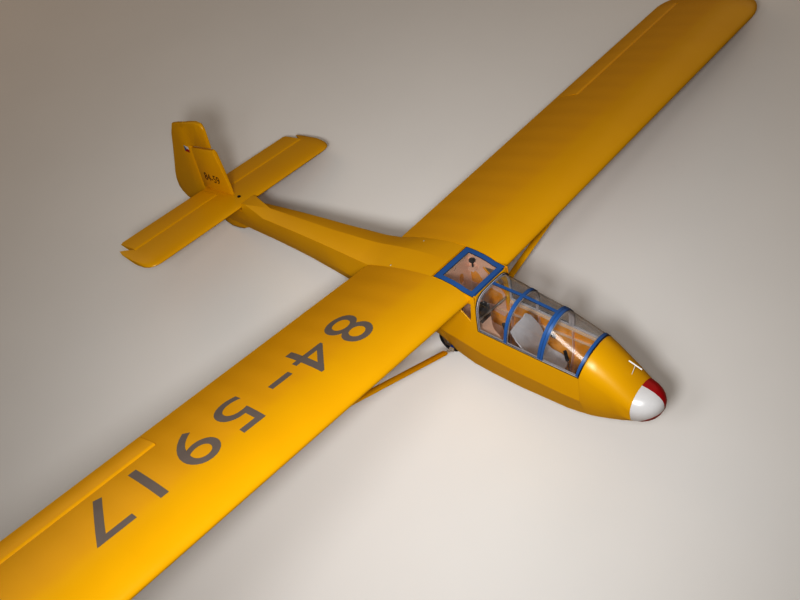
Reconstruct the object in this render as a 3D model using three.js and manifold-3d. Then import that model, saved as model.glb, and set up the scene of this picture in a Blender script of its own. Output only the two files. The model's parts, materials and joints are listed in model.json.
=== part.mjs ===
// A radio-controlled flying model of a two-seat training glider: high wing on two struts, glazed cabin with
// two seats in a row, one wheel under the belly and a skid at each end. Millimetres.
// The pieces are first laid out in level flight, x to the left wing tip, y aft from the nose tip and z up
// from the wing's leading edge at the root. The whole glider is then laid down as it parks: on its wheel,
// on its tail skid and on the left wing tip, with the ground at z = 0.
import * as THREE from "three";
import { mergeVertices } from "three/addons/utils/BufferGeometryUtils.js";
import Module from "manifold-3d";

const wasm = await Module();
wasm.setup();

// Driving dimensions
const GAP = 0.3;
const WALL = 3;
const HALF_SPAN = 1684;
const ROOT_CHORD = 375;
const TIP_CHORD = 370;
const LEADING_EDGE_Y = 523.4;
const FORWARD_SWEEP = 44.6;
const DIHEDRAL = 0.08;
const TRAILING_EDGE_DROP = 23.1;
const WING_THICKNESS = 0.145;
const WING_CAMBER = 0.04;
const CAMBER_AT = 0.4;
const TRAILING_EDGE_THICKNESS = 1.6;
const CABIN_HALF = 78;
const AILERON = { inboard: 897, outboard: 1563, hinge: 0.81, proud: 2.2, end: 1 };
const TIP_ROUND = { from: 1545, leading: 112, trailing: 105 };
const NOSE_JOINT_Y = 62;
const FRONT_FRAME_Y = 180;
const COWL_END_Y = 196;
const CABIN_ARCH = { front: 506, rear: 513.7, top: 19.2 };
const CABIN_END_Y = 645;
const SKYLIGHT = {
  front: 514, rear: 641.7, half: 74.7, border: 17, frontBorder: 13.5, rearBorder: 20, thickness: 3,
};
const GLASS = 1;
const FRAME_STRIP = 1.6;
const INNER_FRAME = 4;
const WHEEL = { y: 685, z: -273.5, radius: 43.6, half: 14, axle: 3 };
const TAILPLANE = { y: 1535.5, z: -45, chord: 220.7, half: 421, hinge: 0.62, thickness: 27, drop: 1 };
const ELEVATOR = { root: 28.5, tip: 384, end: 1.2 };
const RUDDER_HINGE_Y = 1772;
const FORK = { outside: 20, plate: 2, top: -222.3, low: -283, front: 655, rear: 715 };
const WHEEL_SLOT = { half: 20.3, front: 636, rear: 734, top: -222 };
const STRUT = { chord: 21, thickness: 9, fuselage: [53, 637, -247], wing: [727, 586], lowEnd: 0.045 };

// One finish for each material of the glider.
const finish = (color, roughness, metalness = 0, opacity = 1) =>
  new THREE.MeshStandardMaterial({ color, roughness, metalness, opacity, transparent: opacity < 1 });
const YELLOW_FILM = finish(0xe3a008, 0.35);
const BLUE_PAINT = finish(0x1f58b0, 0.4);
const WHITE_PAINT = finish(0xe8e8ea, 0.3);
const BARE_WOOD = finish(0xc79a74, 0.7);
const GREY_SEAT = finish(0x9b9a9c, 0.8);
const CLEAR_SHEET = finish(0xdfe6ea, 0.05, 0, 0.25);
const STEEL = finish(0xb9bcc0, 0.3, 1);
const BLACK_PLASTIC = finish(0x1b1b1d, 0.5);
const TYRE_RUBBER = finish(0x161616, 0.85);

const craft = new THREE.Group();

function addPiece(name, geometry, material, parent = craft) {
  const mesh = new THREE.Mesh(geometry, material);
  mesh.name = name;
  parent.add(mesh);
  if (parent !== craft) geometry.translate(-parent.position.x, -parent.position.y, -parent.position.z);
  return mesh;
}

// A group that turns about the line through a point; the axis is kept with it, in flight directions.
function hingeGroup(point, axis) {
  const group = new THREE.Group();
  group.position.copy(point);
  group.userData.axis = axis.clone().normalize();
  craft.add(group);
  return group;
}

// Points of a table row by row: the value of every column at y, between the rows on each side of it.
function columnsAt(table, y) {
  const names = table.columns;
  const rows = table.rows;
  let i = rows.findIndex((row) => row[0] >= y);
  if (i < 0) i = rows.length - 1;
  const b = rows[i];
  const a = rows[Math.max(i - 1, 0)];
  const k = b[0] === a[0] ? 0 : Math.min(Math.max((y - a[0]) / (b[0] - a[0]), 0), 1);
  return Object.fromEntries(names.map((name, c) => [name, a[c] + (b[c] - a[c]) * k]));
}

// Triangles into one closed geometry: equal points are shared, collapsed triangles are dropped, and the
// faces are turned to point outwards.
function closedGeometry(triangles) {
  const points = [];
  const seen = new Map();
  const indexOf = (p) => {
    const key = [p.x, p.y, p.z].map((v) => Math.round(v * 1e3)).join(",");
    if (!seen.has(key)) {
      seen.set(key, points.length);
      points.push(p);
    }
    return seen.get(key);
  };
  const faces = triangles
    .map((t) => t.map(indexOf))
    .filter(([a, b, c]) => a !== b && b !== c && c !== a);
  const volume = faces.reduce(
    (sum, [a, b, c]) => sum + points[a].dot(points[b].clone().cross(points[c])),
    0,
  );
  const turned = volume < 0 ? faces.map(([a, b, c]) => [a, c, b]) : faces;
  const geometry = new THREE.BufferGeometry().setFromPoints(points);
  geometry.setIndex(turned.flat());
  geometry.computeVertexNormals();
  return geometry;
}

const quad = (a, b, c, d) => [[a, b, c], [a, c, d]];

// A sheet between two surfaces over a grid. The cells that isSolid leaves out become openings.
function gridSheet(us, vs, outer, inner, isSolid = () => true) {
  const triangles = [];
  const cell = (i, j) => i >= 0 && j >= 0 && i < us.length - 1 && j < vs.length - 1 && isSolid(i, j);
  const o = us.map((u) => vs.map((v) => outer(u, v)));
  const n = us.map((u) => vs.map((v) => inner(u, v)));
  for (let i = 0; i < us.length - 1; i++)
    for (let j = 0; j < vs.length - 1; j++) {
      if (!cell(i, j)) continue;
      triangles.push(...quad(o[i][j], o[i + 1][j], o[i + 1][j + 1], o[i][j + 1]));
      triangles.push(...quad(n[i][j], n[i][j + 1], n[i + 1][j + 1], n[i + 1][j]));
      if (!cell(i - 1, j)) triangles.push(...quad(o[i][j], o[i][j + 1], n[i][j + 1], n[i][j]));
      if (!cell(i + 1, j)) triangles.push(...quad(o[i + 1][j + 1], o[i + 1][j], n[i + 1][j], n[i + 1][j + 1]));
      if (!cell(i, j - 1)) triangles.push(...quad(o[i + 1][j], o[i][j], n[i][j], n[i + 1][j]));
      if (!cell(i, j + 1)) triangles.push(...quad(o[i][j + 1], o[i + 1][j + 1], n[i + 1][j + 1], n[i][j + 1]));
    }
  return closedGeometry(triangles);
}

// A solid through closed rings of equally many points, flat at both ends.
function loft(rings) {
  const triangles = [];
  const count = rings[0].length;
  for (let r = 0; r < rings.length - 1; r++)
    for (let i = 0; i < count; i++) {
      const k = (i + 1) % count;
      triangles.push(...quad(rings[r][i], rings[r][k], rings[r + 1][k], rings[r + 1][i]));
    }
  const cap = (ring, flip) => {
    for (let i = 1; i < count - 1; i++)
      triangles.push(flip ? [ring[0], ring[i + 1], ring[i]] : [ring[0], ring[i], ring[i + 1]]);
  };
  cap(rings[0], true);
  cap(rings[rings.length - 1], false);
  return closedGeometry(triangles);
}

// Cutting and joining of closed geometries.
function asSolid(geometry) {
  const plain = geometry.clone();
  plain.deleteAttribute("normal");
  plain.deleteAttribute("uv");
  const merged = mergeVertices(plain, 1e-3);
  return new wasm.Manifold(
    new wasm.Mesh({
      numProp: 3,
      vertProperties: merged.getAttribute("position").array,
      triVerts: new Uint32Array(merged.index.array),
    }),
  );
}

function asGeometry(solid) {
  const mesh = solid.getMesh();
  const geometry = new THREE.BufferGeometry();
  geometry.setAttribute("position", new THREE.BufferAttribute(new Float32Array(mesh.vertProperties), 3));
  geometry.setIndex(new THREE.BufferAttribute(new Uint32Array(mesh.triVerts), 1));
  geometry.computeVertexNormals();
  return geometry;
}

const cut = (body, ...tools) => asGeometry(tools.reduce((s, t) => s.subtract(asSolid(t)), asSolid(body)));
const join = (...bodies) => asGeometry(bodies.slice(1).reduce((s, b) => s.add(asSolid(b)), asSolid(bodies[0])));

// The largest of the bodies that a cut leaves.
const pickedBody = (geometry) =>
  asGeometry(asSolid(geometry).decompose().sort((a, b) => b.volume() - a.volume())[0]);

const point = (x, y, z) => new THREE.Vector3(x, y, z);
const range = (from, to, steps) =>
  Array.from({ length: steps + 1 }, (_, i) => from + ((to - from) * i) / steps);

function box(x0, x1, y0, y1, z0, z1) {
  const geometry = new THREE.BoxGeometry(x1 - x0, y1 - y0, z1 - z0);
  return geometry.translate((x0 + x1) / 2, (y0 + y1) / 2, (z0 + z1) / 2);
}

// A round bar between two points.
function bar(a, b, radius, sides = 12) {
  const length = a.distanceTo(b);
  const geometry = new THREE.CylinderGeometry(radius, radius, length, sides);
  geometry.applyQuaternion(
    new THREE.Quaternion().setFromUnitVectors(point(0, 1, 0), b.clone().sub(a).normalize()),
  );
  return geometry.translate((a.x + b.x) / 2, (a.y + b.y) / 2, (a.z + b.z) / 2);
}

// A disc turned about the x axis from a profile of radius and offset along x.
function turnedAboutX(profile, segments, centreY, centreZ) {
  const geometry = new THREE.LatheGeometry(
    profile.map(([radius, x]) => new THREE.Vector2(radius, x)),
    segments,
  );
  return geometry.rotateZ(-Math.PI / 2).translate(0, centreY, centreZ);
}

// Wing section, as parts of the chord
const CHORD_POINTS = [
  0, 0.0015, 0.006, 0.014, 0.027, 0.045, 0.07, 0.105, 0.15, 0.21, 0.28, 0.36, 0.46, 0.58, 0.7, 0.81, 0.9, 1,
];

function camberLine(x) {
  if (x < CAMBER_AT) return (WING_CAMBER / CAMBER_AT ** 2) * (2 * CAMBER_AT * x - x * x);
  return (WING_CAMBER / (1 - CAMBER_AT) ** 2) * (1 - 2 * CAMBER_AT + 2 * CAMBER_AT * x - x * x);
}

const halfThickness = (x) =>
  5 * (0.2969 * Math.sqrt(x) - 0.126 * x - 0.3516 * x ** 2 + 0.2843 * x ** 3 - 0.1036 * x ** 4);

// Leading edge, chord and thickness of the wing at a distance from the middle.
function wingStation(x) {
  const k = x / HALF_SPAN;
  const lead = LEADING_EDGE_Y - FORWARD_SWEEP * k;
  const chord = ROOT_CHORD + (TIP_CHORD - ROOT_CHORD) * k;
  const u = Math.min(Math.max((x - TIP_ROUND.from) / (HALF_SPAN - TIP_ROUND.from), 0), 1);
  const bow = 1 - Math.sqrt(1 - u * u);
  return {
    lead: lead + TIP_ROUND.leading * bow,
    chord: chord - (TIP_ROUND.leading + TIP_ROUND.trailing) * bow,
    thick: WING_THICKNESS * (1 - 0.55 * u * u),
    z: DIHEDRAL * x,
  };
}

// A point of the wing's skin: side 1 is the upper surface and -1 the lower one.
function wingPoint(x, along, side) {
  const s = wingStation(x);
  const edge = (TRAILING_EDGE_THICKNESS / 2) * along;
  const rise = s.chord * (camberLine(along) + side * halfThickness(along) * s.thick) + side * edge;
  return point(x, s.lead + s.chord * along, s.z - TRAILING_EDGE_DROP * along + rise);
}

const mirrored = (geometry) => {
  const other = geometry.clone();
  const position = other.getAttribute("position");
  for (let i = 0; i < position.count; i++) position.setX(i, -position.getX(i));
  const index = Array.from(other.index.array);
  for (let i = 0; i < index.length; i += 3) [index[i + 1], index[i + 2]] = [index[i + 2], index[i + 1]];
  other.setIndex(index);
  other.computeVertexNormals();
  return other;
};

// Aileron: a wedge with a round nose about its hinge line, a little proud of the wing's skin
function aileronSection(x) {
  const top = wingPoint(x, AILERON.hinge, 1);
  const bottom = wingPoint(x, AILERON.hinge, -1);
  const end = wingPoint(x, 1, 0);
  const radius = (top.z - bottom.z) / 2 + AILERON.proud / 2;
  const centre = point(x, top.y, (top.z + bottom.z) / 2 + AILERON.proud / 2);
  return { radius, centre, end };
}

function aileronRing(x) {
  const { radius, centre, end } = aileronSection(x);
  const nose = range(0, Math.PI, 12).map((a) =>
    point(x, centre.y - radius * Math.sin(a), centre.z + radius * Math.cos(a)),
  );
  return [...nose, point(x, end.y, end.z - 1), point(x, end.y, end.z + 1)];
}

function wingHalf() {
  const tip = [1572, 1598, 1622, 1643, 1660, 1672, 1680, 1683.6];
  const stations = [CABIN_HALF + GAP, 300, 600, AILERON.inboard, 1230, TIP_ROUND.from, ...tip];
  const skin = gridSheet(
    CHORD_POINTS,
    stations,
    (u, x) => wingPoint(x, u, 1),
    (u, x) => wingPoint(x, u, -1),
  );
  const bay = loft(
    [AILERON.inboard - AILERON.end, AILERON.outboard + AILERON.end].map((x) => {
      const { radius, centre, end } = aileronSection(x);
      const front = centre.y - radius - 0.5;
      return [
        point(x, front, centre.z - 60),
        point(x, end.y + 30, centre.z - 60),
        point(x, end.y + 30, centre.z + 60),
        point(x, front, centre.z + 60),
      ];
    }),
  );
  return cut(skin, bay);
}

// Glazed cabin: arches from the front frame back, as the canopy's outside
// base and top are y at the sill and at the crown; corner is the arch's exponent, 2 being an ellipse.
const ARCHES = {
  columns: ["at", "base", "top", "half", "crown", "corner"],
  rows: [
    [0, 196, 180, 75.5, -44.6, 2.1],
    [1, 309, 294, 77.2, 5, 2.1],
    [2, 417, 404, 77.6, 15.5, 2.7],
    [3, 505.2, 505.4, 78, 20, 4.3],
  ],
};
const SILL = { columns: ["y", "z"], rows: [[FRONT_FRAME_Y, -113.5], [COWL_END_Y, -112.6], [512, -94]] };
const sillZ = (y) => columnsAt(SILL, y).z;

// Columns of the glazing from the left sill to the crown: angles round the arch, and by name the upper edge of
// the sill strip and the edge of the spine strip. The right half repeats them.
const SILL_STRIP = 4.5;
const SPINE_HALF = 4.9;
const HALF_COLUMNS = [0, "sill", 0.15, 0.32, 0.52, 0.76, 1.02, 1.3, "spine"];
const LAST_COLUMN = 2 * HALF_COLUMNS.length - 1;
const SPINE_CELL = HALF_COLUMNS.length - 1;

function columnAngle(column, arch, height) {
  if (column > SPINE_CELL) return Math.PI - columnAngle(LAST_COLUMN - column, arch, height);
  const entry = HALF_COLUMNS[column];
  if (entry === "sill") return Math.asin((SILL_STRIP / height) ** (arch.corner / 2));
  if (entry === "spine") return Math.acos((SPINE_HALF / arch.half) ** (arch.corner / 2));
  return entry;
}

function archPoint(at, column, offset) {
  const arch = columnsAt(ARCHES, at);
  const low = sillZ(arch.base) + GAP;
  const angle = columnAngle(column, arch, arch.crown - low);
  const c = Math.cos(angle);
  const across = (arch.half + offset) * Math.sign(c) * Math.abs(c) ** (2 / arch.corner);
  const up = Math.sin(angle) ** (2 / arch.corner);
  return point(across, arch.base + (arch.top - arch.base) * up, low + (arch.crown + offset - low) * up);
}

// Arch numbers where the strips of the two blue frames begin and end.
const WIDE_ARCH = { front: 0.93, joint: 1.0, rear: 1.078 };
const THIN_ARCH = { front: 1.957, rear: 2.051 };
const ARCH_STRIP = { front: 0.084, rear: 0.055 };

function archSheet(ats, offset, thickness, isSolid) {
  return gridSheet(
    ats,
    range(0, LAST_COLUMN, LAST_COLUMN),
    (at, column) => archPoint(at, column, offset),
    (at, column) => archPoint(at, column, offset - thickness),
    isSolid,
  );
}

const isSillCell = (cell) => cell === 0 || cell === LAST_COLUMN - 1;

// Fuselage pod from the nose joint to the end of the cabin
const POD = {
  columns: ["y", "half", "chineHalf", "chineZ", "keelHalf", "keelZ"],
  rows: [
    [NOSE_JOINT_Y, 60.5, 55, -207, 33, -231],
    [95, 64, 62, -202, 38, -243],
    [128, 67.5, 67, -198.5, 43, -252],
    [155, 72, 71.5, -197, 45.5, -260],
    [FRONT_FRAME_Y, 75.2, 75, -196, 47, -267],
    [215, 76.8, 76, -196, 47.8, -273],
    [250, 77.3, 76.5, -196, 48.5, -278],
    [400, 78, 77.5, -189, 48.5, -281],
    [500, 78, 78, -179.5, 48.5, -276],
    [560, 78, 78, -166, 48, -270],
    [632, 78, 77, -154, 39, -261],
    [CABIN_END_Y, 78, 76.5, -152, 37, -256],
  ],
};
// Rear fuselage, a roof over flat sides with a bevelled belly; ridge and edge are its top line and its upper
// corners, and flat is the half width of its level top.
const BOOM = {
  columns: ["y", "half", "edge", "ridge", "flat", "chineHalf", "chineZ", "keelHalf", "keelZ"],
  rows: [
    [CABIN_END_Y + 3.3, 78, 39.5, 40.5, 0, 76.5, -151.5, 36, -254],
    [700, 78, 34.9, 39, 0, 76, -146, 31, -236],
    [750, 78, 26, 35, 0, 75.5, -140, 29, -224],
    [800, 78, 14.3, 28, 0, 75, -133, 29, -213],
    [850, 77.6, 0, 19, 0, 74.5, -127, 29.5, -203],
    [898, 76, -17, 9, 0, 73, -121, 30, -193],
    [950, 69.4, -23, 1, 0, 68, -114.5, 31, -184],
    [1115, 57, -30.5, -14, 0, 56, -101, 30, -158],
    [1224, 50.4, -35, -19.5, 0, 49.5, -95, 28, -145],
    [1310, 45.6, -40, -24, 0, 44.5, -95, 22, -146],
    [1415, 38.8, -47, -29, 0.5, 38, -97, 17, -146],
    [1516, 34, -57, -29.5, 27, 33, -98, 14, -147],
    [1533, 33, -58, -30, 28, 32, -98, 13.5, -147],
  ],
};
// The same body under the tailplane, down to the post that carries the rudder.
const TAIL_END = {
  columns: ["y", "half", "seat", "chineHalf", "chineZ", "keelHalf", "keelZ"],
  rows: [
    [1533, 33, -59.6, 32, -98, 13.5, -147],
    [1620, 26, -59.6, 25, -100, 11, -147],
    [1700, 18, -57.5, 17, -102, 8, -146],
    [1756.9, 9, -54, 9, -105, 5.5, -144],
  ],
};

const sideTop = (y) => (y < CABIN_ARCH.front - 0.2 ? sillZ(y) : roofZ(y));

function roofZ(y) {
  const skin = y < LEADING_EDGE_Y + 20 ? -Infinity : roofSkin(y);
  const lead = CABIN_ARCH.top + ((roofSkin(LEADING_EDGE_Y + 20) - CABIN_ARCH.top) * (y - CABIN_ARCH.front)) /
    (LEADING_EDGE_Y + 20 - CABIN_ARCH.front);
  return Math.max(skin, y < LEADING_EDGE_Y + 20 ? lead : -Infinity);
}

function roofSkin(y) {
  const along = Math.min((y - LEADING_EDGE_Y) / ROOT_CHORD, 1);
  return wingPoint(CABIN_HALF, along, 1).z;
}

function podSide() {
  const ys = [COWL_END_Y, 215, 250, 400, 500, CABIN_ARCH.front - 0.4, CABIN_ARCH.front];
  ys.push(CABIN_ARCH.rear, LEADING_EDGE_Y, LEADING_EDGE_Y + 20, 560, 580, 610, 632, CABIN_END_Y);
  const at = (y, v, inset) => {
    const row = columnsAt(POD, y);
    const top = sideTop(y);
    const low = row.chineZ + GAP / 2;
    const half = row.half + (row.chineHalf - row.half) * v;
    return point(half - inset, y, top + (low - top) * v);
  };
  return gridSheet(ys, [0, 1], (y, v) => at(y, v, 0), (y, v) => at(y, v, WALL));
}

function podBelly() {
  const ys = [COWL_END_Y, ...POD.rows.map((row) => row[0]).filter((y) => y > COWL_END_Y)];
  const outerPoint = (y, v) => {
    const row = columnsAt(POD, y);
    const across = [-row.chineHalf, -row.keelHalf, row.keelHalf, row.chineHalf][v];
    return point(across, y, v === 0 || v === 3 ? row.chineZ - GAP / 2 : row.keelZ);
  };
  const innerPoint = (y, v) => {
    const row = columnsAt(POD, y);
    const slope = WALL * 0.85;
    const across = [-row.chineHalf + WALL, -row.keelHalf + slope, row.keelHalf - slope, row.chineHalf - WALL][v];
    return point(across, y, v === 0 || v === 3 ? row.chineZ - GAP / 2 : row.keelZ + WALL);
  };
  return cut(gridSheet(ys, [0, 1, 2, 3], outerPoint, innerPoint), wheelSlot());
}

// Round deck in front of the windscreen: crown is its top line, shoulder where it runs into the pod's sides and
// corner its arch's exponent.
const DECK = {
  columns: ["y", "crown", "shoulder", "corner"],
  rows: [
    [NOSE_JOINT_Y, -131, -178, 2.2],
    [95, -103, -158, 2.2],
    [128, -78, -140, 2.15],
    [155, -60, -125.5, 2.1],
    [FRONT_FRAME_Y, -46, -113.5, 2.1],
    [COWL_END_Y, -46, -112.6, 2.1],
  ],
};
const DECK_ANGLES = [Math.PI / 2, 1.3, 1.08, 0.86, 0.64, 0.42, 0.2, 0];

// A ring round the nose from the crown down the left side, along the keel and up the right side. Its upper part
// leans forward by rake, as the windscreen's foot does.
function noseRing(y, inset, rake = 0) {
  const row = { ...columnsAt(POD, y), ...columnsAt(DECK, y) };
  const deck = DECK_ANGLES.map((angle) => {
    const up = Math.sin(angle) ** (2 / row.corner);
    return point(
      (row.half - inset) * Math.cos(angle) ** (2 / row.corner),
      y - rake * up,
      row.shoulder + (row.crown - inset - row.shoulder) * up,
    );
  });
  const low = [
    point(row.chineHalf - inset, y, row.chineZ),
    point(row.keelHalf - inset * 0.85, y, row.keelZ + inset),
  ];
  const left = [...deck, ...low];
  return [...left, ...left.slice(1).reverse().map((p) => point(-p.x, p.y, p.z))];
}

function noseShell() {
  const ys = DECK.rows.map(([y]) => y);
  const raked = COWL_END_Y - FRONT_FRAME_Y;
  const rings = (inset) => ys.map((y) => noseRing(y, inset, y === COWL_END_Y ? raked : 0));
  const outer = rings(0);
  const inner = rings(WALL);
  const moved = (ring, dy) => ring.map((p) => point(p.x, p.y + dy, p.z));
  outer[ys.length - 1] = moved(outer[ys.length - 1], -GAP);
  inner[0] = moved(inner[0], -1);
  inner[ys.length - 1] = moved(inner[ys.length - 1], 2);
  return cut(loft(outer), loft(inner));
}

// Nose cap: the pod's first ring, smaller and rounder towards the tip
const NOSE = {
  columns: ["y", "half", "top", "bottom"],
  rows: [
    [0, 3, -174, -180],
    [1.5, 12.5, -163.5, -189.5],
    [6, 24, -154.5, -200],
    [15, 37, -146, -211],
    [28, 48, -139, -220.5],
    [44, 56, -134, -227.5],
    [NOSE_JOINT_Y - GAP, 60.5, -131, -231],
  ],
};

function noseCap() {
  const full = columnsAt(NOSE, NOSE_JOINT_Y);
  const fullMiddle = (full.top + full.bottom) / 2;
  const fullHeight = (full.top - full.bottom) / 2;
  const joint = noseRing(NOSE_JOINT_Y, 0);
  const rings = NOSE.rows.map(([y]) => {
    const row = columnsAt(NOSE, y);
    const middle = (row.top + row.bottom) / 2;
    const height = (row.top - row.bottom) / 2;
    const square = Math.sqrt(y / (NOSE_JOINT_Y - GAP));
    return joint.map((p) => {
      const across = p.x / full.half;
      const rise = (p.z - fullMiddle) / fullHeight;
      const reach = square + (1 - square) / Math.hypot(across, rise);
      return point(row.half * across * reach, y, middle + height * rise * reach);
    });
  });
  return loft(rings);
}

function boomRing(row) {
  const corner = Math.max(row.flat, 0.5);
  const right = [
    point(corner, row.y, row.ridge),
    point(row.half, row.y, row.edge),
    point(row.chineHalf, row.y, row.chineZ),
    point(row.keelHalf, row.y, row.keelZ),
  ];
  return [...right, ...right.slice().reverse().map((p) => point(-p.x, p.y, p.z))];
}

function rearFuselage() {
  const front = BOOM.rows.map(([y]) => boomRing(columnsAt(BOOM, y)));
  const back = TAIL_END.rows.map(([y]) => {
    const row = columnsAt(TAIL_END, y);
    const right = [
      point(row.half - 2, row.y, row.seat),
      point(row.half, row.y, row.seat - 2),
      point(row.chineHalf, row.y, row.chineZ),
      point(row.keelHalf, row.y, row.keelZ),
    ];
    return [...right, ...right.slice().reverse().map((p) => point(-p.x, p.y, p.z))];
  });
  back[0] = back[0].map((p) => point(p.x, p.y - 1, p.z));
  return cut(join(loft(front), loft(back)), wheelSlot());
}

const wheelSlot = () =>
  box(-WHEEL_SLOT.half, WHEEL_SLOT.half, WHEEL_SLOT.front, WHEEL_SLOT.rear, -320, WHEEL_SLOT.top);

// Tailplane: symmetrical section, straight edges, corners cut off at the tips
function tailSection(along) {
  return TAILPLANE.thickness * halfThickness(along) + 0.8 * along;
}

const TAIL_TIP = {
  columns: ["x", "lead", "end"],
  rows: [
    [0, 0, 1], [374, 0, 1], [386, 0.008, 1], [400, 0.03, 0.93], [411, 0.075, 0.84], [418, 0.14, 0.72],
    [TAILPLANE.half, 0.26, 0.56],
  ],
};

function tailPoint(x, along, side) {
  const row = columnsAt(TAIL_TIP, Math.abs(x));
  const part = row.lead + (row.end - row.lead) * along;
  const thin = Math.sqrt(1 - (Math.abs(x) / (TAILPLANE.half + 6)) ** 10) * 0.85 + 0.15;
  return point(x, TAILPLANE.y + TAILPLANE.chord * part, TAILPLANE.z + side * tailSection(along) * thin);
}

const TAIL_HINGE_Y = TAILPLANE.y + TAILPLANE.chord * TAILPLANE.hinge;
const ELEVATOR_NOSE = tailSection(TAILPLANE.hinge) + 1;

function tailplane() {
  const stations = [0, 374, 386, 400, 411, 418, TAILPLANE.half];
  const all = [...stations.slice(1).reverse().map((x) => -x), ...stations];
  const chord = [0, 0.006, 0.025, 0.07, 0.15, 0.3, 0.45, 0.6, 0.75, 0.9, 1];
  const body = gridSheet(chord, all, (u, x) => tailPoint(x, u, 1), (u, x) => tailPoint(x, u, -1));
  const front = TAIL_HINGE_Y - ELEVATOR_NOSE - 0.5;
  const bay = (side) => {
    const a = side * (ELEVATOR.root - ELEVATOR.end);
    const b = side * (ELEVATOR.tip + ELEVATOR.end);
    return box(Math.min(a, b), Math.max(a, b), front, TAILPLANE.y + 260, TAILPLANE.z - 40, TAILPLANE.z + 40);
  };
  // The tip's rear corner is cut back at a slant, so a wedge stays open between it and the elevator.
  const slant = [[385, 1673], [411.5, 1722.5], [411.5, 1790], [385, 1790]];
  const wedge = loft([-80, -10].map((z) => slant.map(([x, y]) => point(x, y, z))));
  const joinerSlot = bar(point(-60, TAIL_HINGE_Y, TAILPLANE.z), point(60, TAIL_HINGE_Y, TAILPLANE.z), 3.3);
  return cut(body, bay(1), bay(-1), wedge, mirrored(wedge), joinerSlot);
}

function elevatorHalf(side) {
  const ring = (x) => {
    const nose = range(0, Math.PI, 8).map((a) =>
      point(
        side * x,
        TAIL_HINGE_Y - ELEVATOR_NOSE * Math.sin(a),
        TAILPLANE.z + ELEVATOR_NOSE * Math.cos(a),
      ),
    );
    const end = TAILPLANE.y + TAILPLANE.chord;
    const cutBack = x > ELEVATOR.tip - 1 ? 6 : 0;
    return [
      ...nose,
      point(side * x, end - cutBack, TAILPLANE.z - 0.9),
      point(side * x, end - cutBack, TAILPLANE.z + 0.9),
    ];
  };
  const half = loft([ring(ELEVATOR.root), ring(ELEVATOR.tip - 10), ring(ELEVATOR.tip)]);
  const socket = bar(
    point(side * 20, TAIL_HINGE_Y, TAILPLANE.z),
    point(side * 52.3, TAIL_HINGE_Y, TAILPLANE.z),
    2.5 + GAP,
  );
  return cut(half, socket);
}

// Fin and rudder: a plate with a round front edge; low and high are its lower and upper edges at each y, and
// thick is its half thickness there.
function uprightPlate(table, levels) {
  const rim = 0.55;
  const at = (y, v, side) => {
    const row = columnsAt(table, y);
    const round = v < 0.001 || v > 0.999 ? rim : 1;
    return point(side * row.thick * round, y, row.low + (row.high - row.low) * v);
  };
  return gridSheet(table.rows.map((row) => row[0]), levels, (y, v) => at(y, v, 1), (y, v) => at(y, v, -1));
}

const FIN = {
  columns: ["y", "low", "high", "thick"],
  rows: [
    [1604, -44.5, -27, 2],
    [1609, -44.5, 0, 4.5],
    [1622, -44.5, 70, 7],
    [1634, -44.5, 130, 8],
    [1640, -44.5, 135, 8.5],
    [1700, -44.5, 126, 9],
    [RUDDER_HINGE_Y - 9.6, -44.5, 116.5, 7],
  ],
};
const RUDDER = {
  columns: ["y", "low", "high", "thick"],
  rows: [
    [RUDDER_HINGE_Y - 8.6, -128, 116.5, 4],
    [RUDDER_HINGE_Y - 6, -137, 213, 6.4],
    [RUDDER_HINGE_Y, -139, 210, 8.6],
    [1802, -141, 204, 7.6],
    [1835, -141, 194, 6.4],
    [1862, -140, 150, 5.4],
    [1890, -138, 82, 4.2],
    [1918, -130, 18, 3],
    [1940, -114, -30, 2],
    [1950, -96, -62, 1.4],
  ],
};
// The part of the rudder ahead of its hinge, over the fin.
const RUDDER_HORN = {
  columns: ["y", "low", "high", "thick"],
  rows: [
    [1650, 139, 205, 3],
    [1653, 139, 217, 4.5],
    [1664, 138, 230, 7],
    [1690, 134.5, 231, 8.4],
    [1730, 129, 222, 8.8],
    [RUDDER_HINGE_Y + 0.5, 121.5, 209.6, 8.55],
  ],
};

// The post behind the tailplane that carries the rudder
const STERN_POST = { front: 1757.2, rear: RUDDER_HINGE_Y - 9.6, half: 6.5, low: -144 };

function fin(tail) {
  const plate = uprightPlate(FIN, [0, 0.04, 0.96, 1]);
  const { front, rear, half, low } = STERN_POST;
  const post = box(-half, half, front, rear, low, 60);
  return join(pickedBody(cut(plate, tail.clone().translate(0, 0, GAP))), post);
}

function rudder() {
  return join(uprightPlate(RUDDER, [0, 0.05, 0.95, 1]), uprightPlate(RUDDER_HORN, [0, 0.05, 0.95, 1]));
}

// Build: pod
const window3 = (side) => {
  const shape = new THREE.Shape([
    new THREE.Vector2(519, -4),
    new THREE.Vector2(526, -68),
    new THREE.Vector2(588, -14),
    new THREE.Vector2(583, -10),
    new THREE.Vector2(540, -7),
  ]);
  return { shape, side };
};

// An outline in y and z made solid between two values of x.
function slab(shape, x0, x1) {
  const geometry = new THREE.ExtrudeGeometry(shape, { depth: x1 - x0, bevelEnabled: false });
  geometry.applyMatrix4(
    new THREE.Matrix4().makeBasis(point(0, 1, 0), point(0, 0, 1), point(1, 0, 0)),
  );
  return geometry.translate(x0, 0, 0);
}

function shrunk(shape, amount) {
  const points = shape.getPoints();
  const middle = points.reduce((sum, p) => sum.add(p), new THREE.Vector2()).divideScalar(points.length);
  return new THREE.Shape(
    points.map((p) => p.clone().add(middle.clone().sub(p).setLength(amount))),
  );
}

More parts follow.
